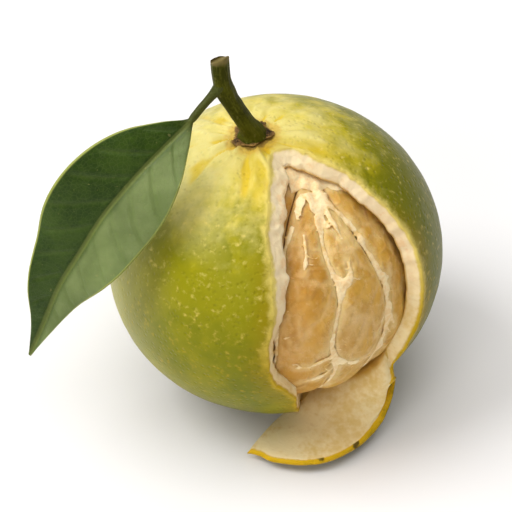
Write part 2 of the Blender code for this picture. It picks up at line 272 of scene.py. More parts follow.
def cell_walls(points, size, seed):
    """How near each point is to the wall between two random cells: 0 on the wall, up to 1 in the middle."""
    shift = Vector((4.13 * seed, 9.71 * seed, 2.37 * seed))
    found = []
    for point in points:
        distances = noise.voronoi(Vector(point) / size + shift)[0]
        found.append(distances[1] - distances[0])
    return np.clip(np.array(found), 0, 1)


def unit(vectors):
    return vectors / np.maximum(np.linalg.norm(vectors, axis=-1, keepdims=True), 1e-12)


def smooth_step(values, low, high):
    share = np.clip((values - low) / (high - low), 0, 1)
    return share * share * (3 - 2 * share)


def spline_point(points, share, closed=False):
    """A point on the smooth curve through all the points, `share` of the way along them."""
    spans = len(points) if closed else len(points) - 1
    at = min(max(share, 0), 0.999999) * spans
    first = int(at)
    t = at - first

    def control(i):
        return points[i % len(points)] if closed else points[max(0, min(i, len(points) - 1))]

    a, b, c, d = (control(first + i) for i in (-1, 0, 1, 2))
    return 0.5 * (2 * b + (c - a) * t + (2 * a - 5 * b + 4 * c - d) * t**2 + (3 * b - a - 3 * c + d) * t**3)


def direction(longitude, latitude):
    lon, lat = radians(longitude), radians(latitude)
    return Vector((cos(lat) * cos(lon), cos(lat) * sin(lon), sin(lat)))


def directions(longitudes, latitudes):
    lon, lat = np.radians(longitudes), np.radians(latitudes)
    return np.stack([np.cos(lat) * np.cos(lon), np.cos(lat) * np.sin(lon), np.sin(lat)], -1)


def turned(matrix, vectors):
    return vectors @ np.array(matrix.to_3x3()).T


def placed(matrix, points):
    return turned(matrix, points) + np.array(matrix.translation)


def rounded(steps, count):
    """How far out a round end is, from 0 to 1, that many steps along it."""
    return np.sqrt(1 - (1 - np.minimum(1, steps / count)) ** 2)


def bell(values, width):
    """1 where a value is 0, falling smoothly to nothing a few widths away."""
    return np.exp(-((values / width) ** 2))


# ---------------------------------------------------------------- the peel


def skin(ways):
    """The skin straight out along each direction, in the fruit's frame, and its outward normals."""
    across = (ways[..., 0] ** 2 + ways[..., 1] ** 2) / EQUATOR_RADIUS**2
    reach = 1 / np.sqrt(across + ways[..., 2] ** 2 / POLE_RADIUS**2)
    points = ways * reach[..., None]
    out = np.hypot(points[..., 0], points[..., 1])
    dimple = DIMPLE_DEPTH * bell(out, DIMPLE_RADIUS)
    points[..., 2] -= np.where(points[..., 2] > 0, dimple, 0)
    normals = unit(ways / np.array([EQUATOR_RADIUS**2, EQUATOR_RADIUS**2, POLE_RADIUS**2]))
    return points, normals


def window_outline():
    """Directions round the window's edge, evenly spaced, and the columns that the hinge takes."""
    corners = [direction(*corner) for corner in RIGHT_EDGE + HINGE + LEFT_EDGE]
    samples = OUTLINE_SAMPLES
    fine = np.array([spline_point(corners, i / samples, closed=True).normalized() for i in range(samples)])
    steps = np.linalg.norm(np.roll(fine, -1, 0) - fine, axis=1)
    lengths = np.concatenate([[0], np.cumsum(steps)])
    wanted = lengths[-1] * np.arange(COLUMNS) / COLUMNS
    wrapped = np.vstack([fine, fine[:1]])
    outline = unit(np.stack([np.interp(wanted, lengths, wrapped[:, i]) for i in range(3)], -1))
    first = lengths[samples * len(RIGHT_EDGE) // len(corners)] / lengths[-1]
    last = lengths[samples * (len(RIGHT_EDGE) + len(HINGE) - 1) // len(corners)] / lengths[-1]
    hinge = [c for c in range(COLUMNS) if first <= c / COLUMNS <= last]
    return outline, hinge


def round_mean(rows, reach):
    """The mean of each row and its neighbours, round a closed loop."""
    return sum(np.roll(rows, shift, 0) for shift in range(-reach, reach + 1)) / (2 * reach + 1)


def smooth_ends(share):
    return min(1, share / 0.08) * min(1, (1 - share) / 0.08)


class PeelGrid:
    """The peel's outer and inner sides as rows and columns of places, with what its material reads.

    The rows run from the flap's rim over the torn face to the back of the fruit, and the columns run round
    the window. Depths and distances for the material are in mm.
    """

    def __init__(self):
        self.outline, hinge = window_outline()
        self.first, self.last = hinge[0], hinge[-1]
        self.hinge = slice(self.first, self.last + 1)
        self.outer = np.zeros((PEEL_ROWS, COLUMNS, 3))
        self.inner = np.zeros((PEEL_ROWS, COLUMNS, 3))
        self.depth = np.zeros((PEEL_ROWS, COLUMNS))
        self.inner_depth = np.full((PEEL_ROWS, COLUMNS), PEEL_THICKNESS / MM)
        self.edge_distance = np.zeros((PEEL_ROWS, COLUMNS))
        self.ridge = np.zeros((PEEL_ROWS, COLUMNS))
        self.tear_edge()
        self.lay_skin()
        self.lay_torn_face()
        self.lay_flap()
        self.measure_from_hinge_ends()
        self.outer[..., 2] = np.maximum(self.outer[..., 2], 0)
        self.inner[..., 2] = np.maximum(self.inner[..., 2], LEAST_INSIDE_HEIGHT)

    def tear_edge(self):
        """The ragged edge of the skin, and how far the torn face reaches in from it, round the window."""
        columns = np.arange(COLUMNS)
        from_hinge = np.where(columns < self.first, self.first - columns, columns - self.last)
        from_hinge = np.minimum(from_hinge, COLUMNS - self.last + columns)
        self.on_hinge = (columns >= self.first) & (columns <= self.last)
        from_hinge = np.where(self.on_hinge, 0, from_hinge)
        self.free = smooth_step(from_hinge * COLUMN_WIDTH, 0, HINGE_EASE)

        along = round_mean(np.roll(self.outline, -1, 0) - np.roll(self.outline, 1, 0), 5)
        self.inwards = unit(np.cross(self.outline, along))
        middle = np.array(direction(*WINDOW_MIDDLE))
        if np.mean(np.sum(self.inwards * (middle - self.outline), -1)) < 0:
            self.inwards = -self.inwards
        start = skin(self.outline)[0]
        ragged = roughness(start, RAGGED_EDGE)
        self.edge = unit(self.outline + self.inwards * (ragged * self.free / EQUATOR_RADIUS)[:, None])
        reach = np.interp(columns / COLUMNS, *zip(*TORN_REACH)) * MM
        reach *= 1 + 0.5 * lumps(start, 6.5 * MM, 3) + 0.25 * lumps(start, 2.6 * MM, 4)
        reach += 0.15 * MM * lumps(start, 1.3 * MM, 15)
        self.torn_reach = LEAST_REACH + (reach - LEAST_REACH) * self.free

    def lay_skin(self):
        """The skin, from the window's edge round to the back of the fruit."""
        middle = np.array(direction(*WINDOW_MIDDLE))
        turn = unit(np.cross(middle, self.edge))
        sweep = np.arccos(np.clip(self.edge @ -middle, -1, 1))
        side = np.cross(turn, self.edge)
        for i in range(SKIN_ROWS + 1):
            angle = (sweep * (i / SKIN_ROWS) ** 1.25)[:, None]
            points, normals = skin(self.edge * np.cos(angle) + side * np.sin(angle))
            pucker = stem_wrinkles(points)
            relief = roughness(points, SKIN_RELIEF)
            relief += WRINKLE_HEIGHT * pucker
            wall = roughness(points, WALL_RELIEF, PEEL_THICKNESS)
            if i == SKIN_ROWS:
                relief[:] = relief[0]
                wall[:] = wall[0]
            row = SKIN_FROM + i
            self.ridge[row] = pucker
            self.outer[row] = placed(FRUIT_FRAME, points + normals * relief[:, None])
            self.inner[row] = placed(FRUIT_FRAME, points - normals * wall[:, None])
            self.edge_distance[row] = (angle[:, 0] * EQUATOR_RADIUS + FAR * self.on_hinge) / MM

    def lay_torn_face(self):
        """The torn face, from the skin's edge down into the pith."""
        whole = np.interp(np.arange(COLUMNS) / COLUMNS, *zip(*TORN_DEPTH)) * PEEL_THICKNESS - FLAVEDO
        for step in range(1, TORN_ROWS + 1):
            share = step / TORN_ROWS
            ways = self.edge + self.inwards * (self.torn_reach * share / EQUATOR_RADIUS)[:, None]
            points, normals = skin(unit(ways))
            below = max(0, share - FLAVEDO_SHARE) / (1 - FLAVEDO_SHARE)
            drop = FLAVEDO * min(1, share / FLAVEDO_SHARE) + whole * below
            rough = 0.25 * MM * lumps(points, 4 * MM, 10)
            rough += 0.3 * MM * lumps(points + normals * (0.5 * MM * step), 1.3 * MM, 11)
            rough *= np.minimum(self.torn_reach / (2 * MM), 1.4)
            drops = np.clip(drop + rough * sin(pi * share) * self.free, 0.1 * MM, PEEL_THICKNESS - 0.3 * MM)
            wall = PEEL_THICKNESS + 0.15 * MM * lumps(points, 3 * MM, 8)
            row = SKIN_FROM - step
            self.outer[row] = placed(FRUIT_FRAME, points - normals * drops[:, None])
            self.inner[row] = placed(FRUIT_FRAME, points - normals * wall[:, None])
            self.depth[row] = drops / MM

    def flap_sheet(self):
        """The flap's skin side, from the hinge out to its rim."""
        rim_points = [Vector(point) * MM for point in FLAP_RIM]
        count = self.last - self.first + 1
        sheet = np.zeros((SKIN_FROM + 1, count, 3))
        for place in range(count):
            hinge_point = Vector(self.outer[SKIN_FROM, self.first + place])
            share = place / (count - 1)
            rim = spline_point(rim_points, share) + Vector((hinge_point.x, hinge_point.y, 0))
            outward = Vector((hinge_point.x, hinge_point.y, 0)).normalized()
            length = (rim - hinge_point).length
            wander = noise.noise(rim / (6 * MM)) * 0.6 * MM + noise.noise(rim / (1.8 * MM)) * 0.15 * MM
            wander -= 0.6 * MM
            rim += (rim - hinge_point).normalized() * wander * smooth_ends(share)
            bend = hinge_point.lerp(rim, FLAP_BEND_AT) + outward * FLAP_BULGE * (1 - 2 * share) * length
            bend.z = min(hinge_point.z, rim.z) - FLAP_DIP
            for m in range(SKIN_FROM + 1):
                t = 1 - (1 - m / SKIN_FROM) ** 1.15
                point = (1 - t) ** 2 * hinge_point + 2 * t * (1 - t) * bend + t**2 * rim
                point.z = max(point.z, FLAP_LIFT)
                sheet[m, place] = point
        return sheet

    def lay_flap(self):
        """The flap in its thickness, rounded at its rim and its sides, and bent out of the skin above it."""
        sheet = self.flap_sheet()
        count = sheet.shape[1]
        above = self.outer[SKIN_FROM : SKIN_FROM + HINGE_BLEND, self.hinge]
        normals = soft_normals(np.concatenate([sheet[::-1], above[1:]]))
        sides = np.minimum(np.arange(count), count - 1 - np.arange(count))
        side_round = rounded(sides, 4)
        for m in range(1, SKIN_FROM + 1):
            row = SKIN_FROM - m
            points = sheet[m]
            share = m / SKIN_FROM
            wall = FLAP_THICKNESS + (PEEL_THICKNESS - FLAP_THICKNESS) * bell(share, 0.3)
            wall = roughness(points, FLAP_RELIEF, wall - 0.5 * MM * smooth_step(share, 0.5, 1))
            rounding = np.minimum(rounded(row, 4), side_round)
            up = normals[row]
            lift = (0.35 * wall * (1 - rounding))[:, None]
            self.outer[row, self.hinge] = points + up * lift
            self.inner[row, self.hinge] = points + up * (wall * (0.45 + 0.55 * rounding))[:, None]
            self.depth[row, self.hinge] = 0
            self.edge_distance[row, self.hinge] = np.minimum(row * 0.35, sides * 0.42)
            to_rim = np.minimum(row, np.arange(count) + 3 * max(0, 1 - m / 14))
            self.inner_depth[row, self.hinge] = np.interp(to_rim, *zip(*RIM_DEPTH))
        inner_near = self.inner[SKIN_FROM : SKIN_FROM + HINGE_BLEND, self.hinge]
        blend = np.linspace(0, 1, HINGE_BLEND)[:, None, None]
        bent = above + normals[SKIN_FROM : SKIN_FROM + HINGE_BLEND] * PEEL_THICKNESS
        self.inner[SKIN_FROM : SKIN_FROM + HINGE_BLEND, self.hinge] = bent * (1 - blend) + inner_near * blend

    def measure_from_hinge_ends(self):
        """How far the skin beside the hinge is from the hinge's ends, where the tear starts."""
        ends = [self.outer[SKIN_FROM, self.first], self.outer[SKIN_FROM, self.last]]
        for row in range(SKIN_FROM, PEEL_ROWS):
            gap = np.min([np.linalg.norm(self.outer[row] - end, axis=-1) for end in ends], axis=0) / MM
            self.edge_distance[row] = np.minimum(self.edge_distance[row], gap)


def stem_wrinkles(points):
    """The wrinkles that run out from the stem, up to about 1 on their tops and down to -1 between them."""
    out = np.hypot(points[:, 0], points[:, 1])
    around = np.arctan2(points[:, 1], points[:, 0])
    spokes = np.stack([4.2 * np.cos(around), 4.2 * np.sin(around), out / (7 * MM)], -1)
    near_stem = smooth_step(out, 1.5 * MM, 4.5 * MM) * smooth_step(-out, -20 * MM, -6 * MM)
    near_stem = np.where(points[:, 2] > 0, near_stem, 0)
    return near_stem * (lumps(spokes, 1, 7) + 0.6 * lumps(spokes, 0.5, 14))


def soft_normals(sheet):
    """The upward normals of a sheet of points, each smoothed with its neighbours."""
    normals = unit(np.cross(np.gradient(sheet, axis=0), np.gradient(sheet, axis=1)))
    if np.mean(normals[:10, :, 2]) < 0:
        normals = -normals
    for _ in range(12):
        normals[1:-1] = unit(normals[:-2] + 2 * normals[1:-1] + normals[2:])
        normals[:, 1:-1] = unit(normals[:, :-2] + 2 * normals[:, 1:-1] + normals[:, 2:])
    return normals


def ring_and_column(ways):
    """Which ring and column of the opened sphere each direction is on."""
    ring = np.rint(PEEL_ROWS * np.arccos(np.clip(ways[:, 2], -1, 1)) / pi).astype(int)
    column = np.rint(-np.arctan2(ways[:, 1], ways[:, 0]) * COLUMNS / (2 * pi)).astype(int) % COLUMNS
    return ring, column


def make_peel(material):
    """A sphere opened at the top, whose rows become the flap, the torn face and the skin, given a wall."""
    grid = PeelGrid()
    piece = new_ball("peel_rind", PEEL_ROWS, COLUMNS)
    ring, column = ring_and_column(places(piece))
    beside_flap = (ring <= FLAP_ROWS) & ((column < grid.first) | (column > grid.last))
    edit_chosen(piece, beside_flap | (ring == 0))
    bpy.ops.mesh.delete(type="VERT")
    bpy.ops.object.mode_set(mode="OBJECT")
    apply_modifier(piece, "SOLIDIFY", thickness=0.01, offset=-1)
    co = places(piece)
    outside = co[: len(co) // 2]
    ring, column = ring_and_column(outside / np.linalg.norm(outside, axis=1)[:, None])
    rows = ring - 1
    points = np.concatenate([grid.outer[rows, column], grid.inner[rows, column]])
    move_to(piece, points)
    local = placed(FRUIT_FRAME.inverted(), points)
    from_stem = np.where(local[:, 2] > 0, np.hypot(local[:, 0], local[:, 1]), FAR)
    flap = (rows < SKIN_FROM) & (column >= grid.first) & (column <= grid.last)
    keep_values(
        piece,
        depth_mm=np.concatenate([grid.depth[rows, column], grid.inner_depth[rows, column]]),
        edge_mm=np.tile(grid.edge_distance[rows, column], 2),
        ridge=np.tile(grid.ridge[rows, column], 2),
        stem_mm=from_stem / MM,
        flap=np.tile(np.where(flap, 1.0, 0.0), 2),
    )

    # The hinge's corners are eased, because the flap leaves the torn edge there.
    near = np.abs(rows - FLAP_ROWS - TORN_ROWS / 2) < 10
    near &= (np.abs(column - grid.first) < 9) | (np.abs(column - grid.last) < 9)
    edit_chosen(piece, np.tile(near, 2))
    bpy.ops.mesh.vertices_smooth(factor=0.5, repeat=6)
    bpy.ops.object.mode_set(mode="OBJECT")
    faces_outwards(piece)
    finish_piece(piece, material, ["peel"])


# ---------------------------------------------------------------- the segments and their pith


def ball_frame():
    up = BALL_AXIS.normalized()
    right = Vector((0, 1, 0)).cross(up).normalized()
    turn = Matrix((right, up.cross(right), up)).transposed().to_4x4()
    return Matrix.Translation(CENTRE + BALL_OFFSET) @ turn


BALL_FRAME = ball_frame()


def ball_reach(ways):
    """How far the ball's surface is from its centre, along directions in the ball's frame."""
    leaning = turned(FRUIT_FRAME.inverted(), turned(BALL_FRAME, ways))
    across = np.hypot(leaning[..., 0], leaning[..., 1]) / BALL_RADIUS
    towards = turned(BALL_FRAME.inverted(), turned(FRUIT_FRAME, np.array(direction(*WINDOW_MIDDLE))))
    near = ways @ towards
    swell = BALL_SWELL * smooth_step(near, 0.5, 0.85) + BALL_MIDDLE_SWELL * smooth_step(near, 0.84, 1)
    swell = np.maximum(swell, BALL_SWELL * smooth_step(ways[..., 2], 0.45, 0.9))
    return 1 / np.hypot(across, leaning[..., 2] / BALL_POLE_RADIUS) + swell


# How three of the furrows wander: (latitude, degrees of longitude).
WANDER = {
    0: [(-90, 0), (-40, 0), (-9, 3), (5, 2), (13, -2), (28, 0), (39, 2), (43, -2), (52, -4), (61, -4),
        (70, 0), (90, 0)],
    1: [(-90, 0), (-20, -2), (0, -4), (12, -1), (27, 1), (44, -1), (54, -3), (60, -4), (72, -6), (90, 0)],
    11: [(-90, 0), (-20, 2), (8, 4), (19, 1), (30, 1), (42, -1), (53, -3), (62, -5), (72, -4), (90, 0)],
}


def furrow(index, latitudes):
    """The longitudes of a furrow at each latitude."""
    index %= len(SEGMENT_SPANS)
    base = FIRST_FURROW + sum(SEGMENT_SPANS[:index]) - (360 if index == 11 else 0)
    points = WANDER.get(index, [(-90, 0), (90, 0)])
    lats = np.array([p[0] for p in points], float)
    moves = np.array([p[1] for p in points], float)
    smooth = sum(np.interp(latitudes + step, lats, moves) for step in (-6, -3, 0, 3, 6)) / 5
    return base + smooth


def segment_relief(points):
    """How far the membrane stands out over its juice sacs, and how near it is to a fibre between them."""
    warped = points + 0.6 * MM * np.stack([lumps(points, 2.5 * MM, s) for s in (21, 22, 23)], -1)
    stretched = warped * np.array([1, 1, 0.6])
    walls = cell_walls(stretched, 6.0 * MM, 1)
    fine = cell_walls(stretched, 2.6 * MM, 2)
    relief = roughness(points, MEMBRANE_RELIEF)
    relief += 0.25 * MM * smooth_step(walls, 0, 0.4) + 0.07 * MM * smooth_step(fine, 0, 0.4)
    return relief - 0.3 * MM, bell(walls, 0.11), bell(fine, 0.13)


def strand_line(strand, each):
    """Places close together along a strand: direction and half width in mm."""
    knots = [Vector(point) for point in strand]
    count = each * (len(knots) - 1) + 1
    return [spline_point(knots, i / (count - 1)) for i in range(count)]


def near_strands(ways):
    """How close to a strand of pith each direction on the ball is: 1 on it, and 0 a few mm away."""
    closest = np.zeros(len(ways))
    for strand in STRANDS:
        for longitude, latitude, width in strand_line(strand, 5):
            gap = np.linalg.norm(ways - np.array(direction(longitude, latitude)), axis=1) * BALL_RADIUS / MM
            closest = np.maximum(closest, bell(gap, 1.1 + 0.9 * width))
    return closest


def make_segment(index, material):
    """A sphere whose rings run round the wedge, with a bulging back between two furrows and flat sides."""
    shown = index in SHOWN_SEGMENTS
    name = f"segment_{index + 1:02d}"
    piece = new_ball(name + "_membrane", *(SEGMENT_FINE if shown else SEGMENT_COARSE))
    co = places(piece)
    latitude = SEGMENT_TOP * (1 - 2 * np.arccos(np.clip(co[:, 2], -1, 1)) / pi)
    turn = np.arctan2(co[:, 1], co[:, 0]) / pi  # 0 is the middle of the back, and +-1 the core
    across = np.clip(turn / BACK_SHARE, -1, 1)
    inward = np.clip((np.abs(turn) - BACK_SHARE) / (1 - BACK_SHARE), 0, 1)
    left = furrow(index, latitude)
    right = furrow(index + 1, latitude)
    right = np.where(right < left, right + 360, right)
    half = (right - left) / 2
    middle = (left + right) / 2
    ways = directions(middle + half * across, latitude)
    reach = ball_reach(ways)
    tips = np.sqrt(np.clip(1 - np.abs(latitude / (SEGMENT_TOP + 0.01)) ** 14, 0, 1))
    surface = ways * reach[:, None]
    relief, veins, fine_veins = segment_relief(surface)
    furrow_drop = FURROW_DEPTH * np.abs(across) ** 4 + FURROW_CREASE * np.abs(across) ** 24
    relief = relief * (1 - np.abs(across) ** 8) * (inward == 0)
    height = reach + relief - furrow_drop - TIP_DROP * (1 - tips)
    back = ways * height[:, None]
    core_height = reach * np.sin(np.radians(latitude)) * CORE_SHARE
    centre_line = np.stack([0 * latitude, 0 * latitude, core_height], -1)
    core = centre_line + directions(middle + half * across, 0 * latitude) * CORE_RADIUS
    points = back * (1 - inward)[:, None] + core * inward[:, None]
    span = np.radians(np.mean(half))
    clear = directions(middle, 0 * latitude) * (SEGMENT_GAP / 2 / sin(span))
    move_to(piece, placed(BALL_FRAME, points + clear))
    keep_values(
        piece,
        furrow=np.where(inward > 0, 1, np.abs(across) ** 4),
        vein=veins * (inward == 0),
        fine_vein=fine_veins * (inward == 0),
        pale=near_strands(ways) if shown else 0 * latitude,
    )
    faces_outwards(piece)
    finish_piece(piece, material, [name])


# The net of pith: strands as (longitude, latitude, half width in mm) on the ball.
STRANDS = [
    [(-78, 76, 1.1), (-72, 71, 1.0), (-69, 66, 0.7), (-66, 60, 0.4)],
    [(-130, 79, 1.7), (-130, 84, 1.8), (-130, 89, 1.8)],
    [(-70, 80, 1.7), (-70, 85, 1.8), (-70, 89, 1.8)],
    [(-10, 79, 1.7), (-10, 84, 1.8), (-10, 89, 1.8)],
    [(-112, 77, 1.0), (-96, 80, 1.2), (-76, 81, 1.4), (-52, 80, 1.3), (-32, 76, 1.0), (-20, 69, 0.7),
     (-14, 58, 0.4)],
    [(-88, 76, 0.9), (-92, 68, 0.6), (-95, 60, 0.45)],
    [(-60, 76, 0.9), (-62, 68, 0.5), (-60, 60, 0.35), (-57, 52, 0.3)],
    [(-60, 74, 1.1), (-56, 70, 0.8), (-51, 66, 0.6), (-47, 60, 0.6), (-44, 54, 0.5), (-44, 48, 0.5),
     (-43, 42, 0.6), (-42, 36, 0.7), (-41, 31, 0.7), (-42, 25, 0.6), (-42, 19, 0.8), (-43, 13, 0.7),
     (-44, 7, 0.6), (-45, 1, 0.7), (-47, -5, 0.6), (-46, -14, 0.5), (-45, -26, 0.4)],
    [(-72, 66, 0.8), (-72, 60, 0.5), (-72, 54, 0.4), (-71, 47, 0.5), (-69, 42, 0.5), (-66, 38, 0.9),
     (-67, 31, 0.5), (-69, 23, 0.4), (-70, 14, 0.5), (-68, 8, 0.7), (-66, 4, 0.9), (-65, -3, 0.5),
     (-65, -12, 0.5), (-66, -24, 0.4)],
    [(-60, 46, 0.3), (-60, 42, 0.4), (-62, 39, 0.6), (-66, 37, 0.8)],
    [(-44, 50, 0.5), (-49, 52, 0.35), (-52, 56, 0.3), (-54, 61, 0.25)],
    [(-42, 20, 0.6), (-47, 17, 0.4), (-50, 13, 0.3)],
    [(-46, 0, 0.6), (-51, 2, 0.5), (-57, 2, 0.4), (-61, 3, 0.5), (-66, 4, 0.8)],
    [(-68, 8, 0.7), (-73, 7, 0.5), (-78, 4, 0.4), (-83, 3, 0.3)],
    [(-66, 3, 0.6), (-72, -3, 0.5), (-78, -6, 0.45), (-84, -8, 0.3)],
    [(-95, 60, 0.4), (-97, 50, 0.4), (-95, 38, 0.45), (-94, 27, 0.4), (-93, 17, 0.4), (-91, 8, 0.4),
     (-91, -8, 0.35)],
    [(-86, 58, 0.3), (-84, 50, 0.35), (-85, 43, 0.3)],
    [(-36, 36, 0.35), (-39, 33, 0.5), (-42, 31, 0.6)],
    [(-38, 10, 0.3), (-40, 14, 0.45), (-42, 19, 0.6)],
]


def fibrils():
    """Short, thin threads that leave the longer strands to either side."""
    found = []
    for number, strand in enumerate(STRANDS):
        for index, (longitude, latitude, width) in enumerate(strand_line(strand, 2)[1:-1]):
            if latitude > 72:
                continue
            chance = Vector((0.37 * number, 0.91 * index, 0.5))
            side = 1 if noise.noise(chance * 3.1) > 0 else -1
            length = 3 + 9 * abs(noise.noise(chance * 2.3 + Vector((5, 0, 0))))
            rise = 5 * noise.noise(chance * 1.7 + Vector((0, 7, 0)))
            thick = 0.18 + 0.16 * width
            bend = 2.5 * noise.noise(chance * 4.7)
            halfway = (longitude + side * length * 0.5, latitude + rise + bend, 0.7 * thick)
            tip = (longitude + side * length, latitude + 1.6 * rise, 0.4 * thick)
            found.append([(longitude, latitude, thick), halfway, tip])
    return found


def make_pith_net(material):
    """Strands laid on the ball as tubes, pressed flat on it, and grown together."""
    curve = bpy.data.curves.new("pith_net", "CURVE")
    curve.dimensions = "3D"
    curve.bevel_depth = NET_TUBE
    curve.bevel_resolution = 3
    curve.use_fill_caps = True
    for number, strand in enumerate(STRANDS + fibrils()):
        spots = strand_line(strand, 8)
        line = curve.splines.new("POLY")
        line.points.add(len(spots) - 1)
        for point, (longitude, latitude, width) in zip(line.points, spots):
            way = np.array([direction(longitude, latitude)])
            wobble = noise.noise(Vector(way[0]) * 14 + Vector((number, 0, 0)))
            place = Vector((way * (ball_reach(way) + 0.05 * MM)[:, None])[0])
            point.co = (*(BALL_FRAME @ place), 1)
            point.radius = max(0.2, 1.2 * width * (1 + 0.7 * wobble))
    piece = bpy.data.objects.new("pith_net", curve)
    bpy.context.scene.collection.objects.link(piece)
    only(piece)
    bpy.ops.object.convert(target="MESH")
    piece = added("pith_net")
    press_on_ball(piece, NET_FLATNESS)
    apply_modifier(piece, "REMESH", mode="VOXEL", voxel_size=NET_VOXEL, use_smooth_shade=True)
    apply_modifier(piece, "SMOOTH", factor=0.5, iterations=8)
    points = places(piece)
    local = placed(BALL_FRAME.inverted(), points)
    ways = unit(local)
    high = np.linalg.norm(local, axis=1) - ball_reach(ways) + net_drop(ways)
    shift = roughness(points, NET_RELIEF)
    move_to(piece, placed(BALL_FRAME, local + ways * shift[:, None]))
    keep_values(piece, high_mm=high / MM)
    finish_piece(piece, material, ["strand_left", "strand_middle", "strand_right"])


def net_drop(ways):
    """How far the net sinks into the furrows that it crosses."""
    longitude = np.degrees(np.arctan2(ways[:, 1], ways[:, 0]))
    latitude = np.degrees(np.arcsin(ways[:, 2]))
    drop = np.zeros(len(ways))
    for index in (0, 1, 11):
        gap = (longitude - furrow(index, latitude)) * np.cos(np.radians(latitude)) * 0.43
        drop = np.maximum(drop, NET_SINK * bell(gap, 1.5))
    return drop


def press_on_ball(piece, share):
    """Flattens a piece against the ball, and lets it follow the furrows a little."""
    local = placed(BALL_FRAME.inverted(), places(piece))
    ways = unit(local)
    reach = ball_reach(ways)
    height = (np.linalg.norm(local, axis=1) - reach) * share - net_drop(ways) + 0.12 * MM
    move_to(piece, placed(BALL_FRAME, ways * (reach + height)[:, None]))


# ---------------------------------------------------------------- the calyx, the stem and the leaf


def stem_points():
    foot = FRUIT_FRAME @ Vector((0, 0, POLE_RADIUS - DIMPLE_DEPTH + CALYX_HEIGHT + CALYX_CLEARANCE))
    return [foot + Vector(point) * MM for point in STEM_PATH]


def tube_frames(points, count, ahead_by=0.01):
    """Places along a smooth path with the direction it runs in at each."""
    shares = np.linspace(0, 1, count)
    here = np.array([spline_point(points, share) for share in shares])
    after = np.array([spline_point(points, min(1, share + ahead_by)) for share in shares])
    before = np.array([spline_point(points, max(0, share - ahead_by)) for share in shares])
    return shares, here, unit(after - before)


def rings_of(piece, rings):
    """Which ring and which place round the ring each vertex of a sphere has."""
    co = places(piece)
    ring = np.rint(rings * np.arccos(np.clip(-co[:, 2], -1, 1)) / pi).astype(int)
    angle = np.arctan2(co[:, 1], co[:, 0])
    pole = (ring == 0) | (ring == rings)
    return ring, angle, pole


def make_calyx(material):
    """A flattened ball whose rim is drawn out into five torn, dry lobes that lie on the skin."""
    piece = new_ball("calyx_star", 40, 160)
    co = places(piece)
    around = np.arctan2(co[:, 1], co[:, 0])
    out = np.hypot(co[:, 0], co[:, 1])
    lobes = 0.5 + 0.5 * np.cos(CALYX_LOBES * around + 0.6)
    uneven = np.array([noise.noise(Vector((2 * cos(a), 2 * sin(a), 4.0))) for a in around])
    ragged = np.array([noise.noise(Vector((9 * cos(a), 9 * sin(a), 1.0))) for a in around])
    radius = CALYX_RADIUS + CALYX_LOBE * lobes**1.5 * (1 + 0.9 * uneven) + CALYX_FRAY * ragged
    radius *= 1 - 0.3 * bell(np.abs((around + 1.1 + pi) % (2 * pi) - pi), 0.7)
    flat_out = radius * out**0.8
    height = np.where(co[:, 2] > 0, *CALYX_HALVES) * co[:, 2] * (1.2 - 0.5 * out)
    x, y = flat_out * np.cos(around), flat_out * np.sin(around)
    under = POLE_RADIUS * np.sqrt(1 - (flat_out / EQUATOR_RADIUS) ** 2)
    under -= DIMPLE_DEPTH * bell(flat_out, DIMPLE_RADIUS)
    curl = CALYX_CURL * smooth_step(out, 0.7, 1.0) * (0.2 + uneven)
    points = np.stack([x, y, under + CALYX_CLEARANCE + height + curl], -1)
    points[:, 2] += roughness(points, CALYX_RELIEF) * (co[:, 2] > 0)
    move_to(piece, placed(FRUIT_FRAME, points))
    keep_values(piece, rim=out)
    faces_outwards(piece)
    finish_piece(piece, material, ["calyx"])


def make_stem(material):
    """A ridged green stalk, flared at its foot, with a node where the leaf joins and a slanted, cut end."""
    rings = 170
    piece = new_ball("stem_stalk", rings, 72)
    ring, angle, pole = rings_of(piece, rings)
    points = stem_points()
    shares, here, ahead = tube_frames(points, rings + 1)
    axis = np.array(FRUIT_FRAME.to_3x3() @ Vector((0, 0, 1)))
    mix = smooth_step(shares, 0, 0.12)[:, None]
    ahead = unit(axis * (1 - mix) + ahead * mix)
    side = unit(np.cross(ahead, np.array([0, 1.0, 0])))
    other = np.cross(ahead, side)
    share = shares[ring]
    radius = STEM_RADIUS + (STEM_FOOT_RADIUS - STEM_RADIUS) * bell(share, STEM_FLARE)
    radius += (STEM_NODE_RADIUS - STEM_RADIUS) * bell(share - STEM_NODE_AT, STEM_NODE_SPAN)
    radius += STEM_RIDGE * np.cos(5 * angle + 2 * share) + STEM_FINE_RIDGE * np.cos(11 * angle - 3 * share)
    radius = np.where(pole, 0, radius * rounded(np.minimum(ring, rings - ring), 5))
    centre = here[ring]
    outwards = side[ring] * np.cos(angle)[:, None] + other[ring] * np.sin(angle)[:, None]
    spots = centre + outwards * radius[:, None]
    spots += unit(spots - centre + 1e-9) * (roughness(spots, STEM_RELIEF) * ~pole)[:, None]
    slant = smooth_step(share, CUT_START, 1.0)
    off_axis = np.sum((spots - centre) * np.array(CUT_SLANT), -1)
    spots += ahead[ring] * (slant * (off_axis - CUT_DROP))[:, None]
    hollow = np.clip(1 - radius / STEM_RADIUS, 0, 1) * (ring > rings - 6)
    spots -= ahead[ring] * (CUT_HOLLOW * hollow)[:, None]
    move_to(piece, spots)
    keep_values(piece, along=share, around=angle / pi)
    faces_outwards(piece)
    finish_piece(piece, material, ["stem"])


def blade_half_width(shares):
    knots = [Vector((width, 0)) for width in BLADE_HALF_WIDTHS]
    table = np.array([spline_point(knots, i / 200).x for i in range(201)]) * MM
    return np.maximum(np.interp(shares, np.linspace(0, 1, 201), table), 0)


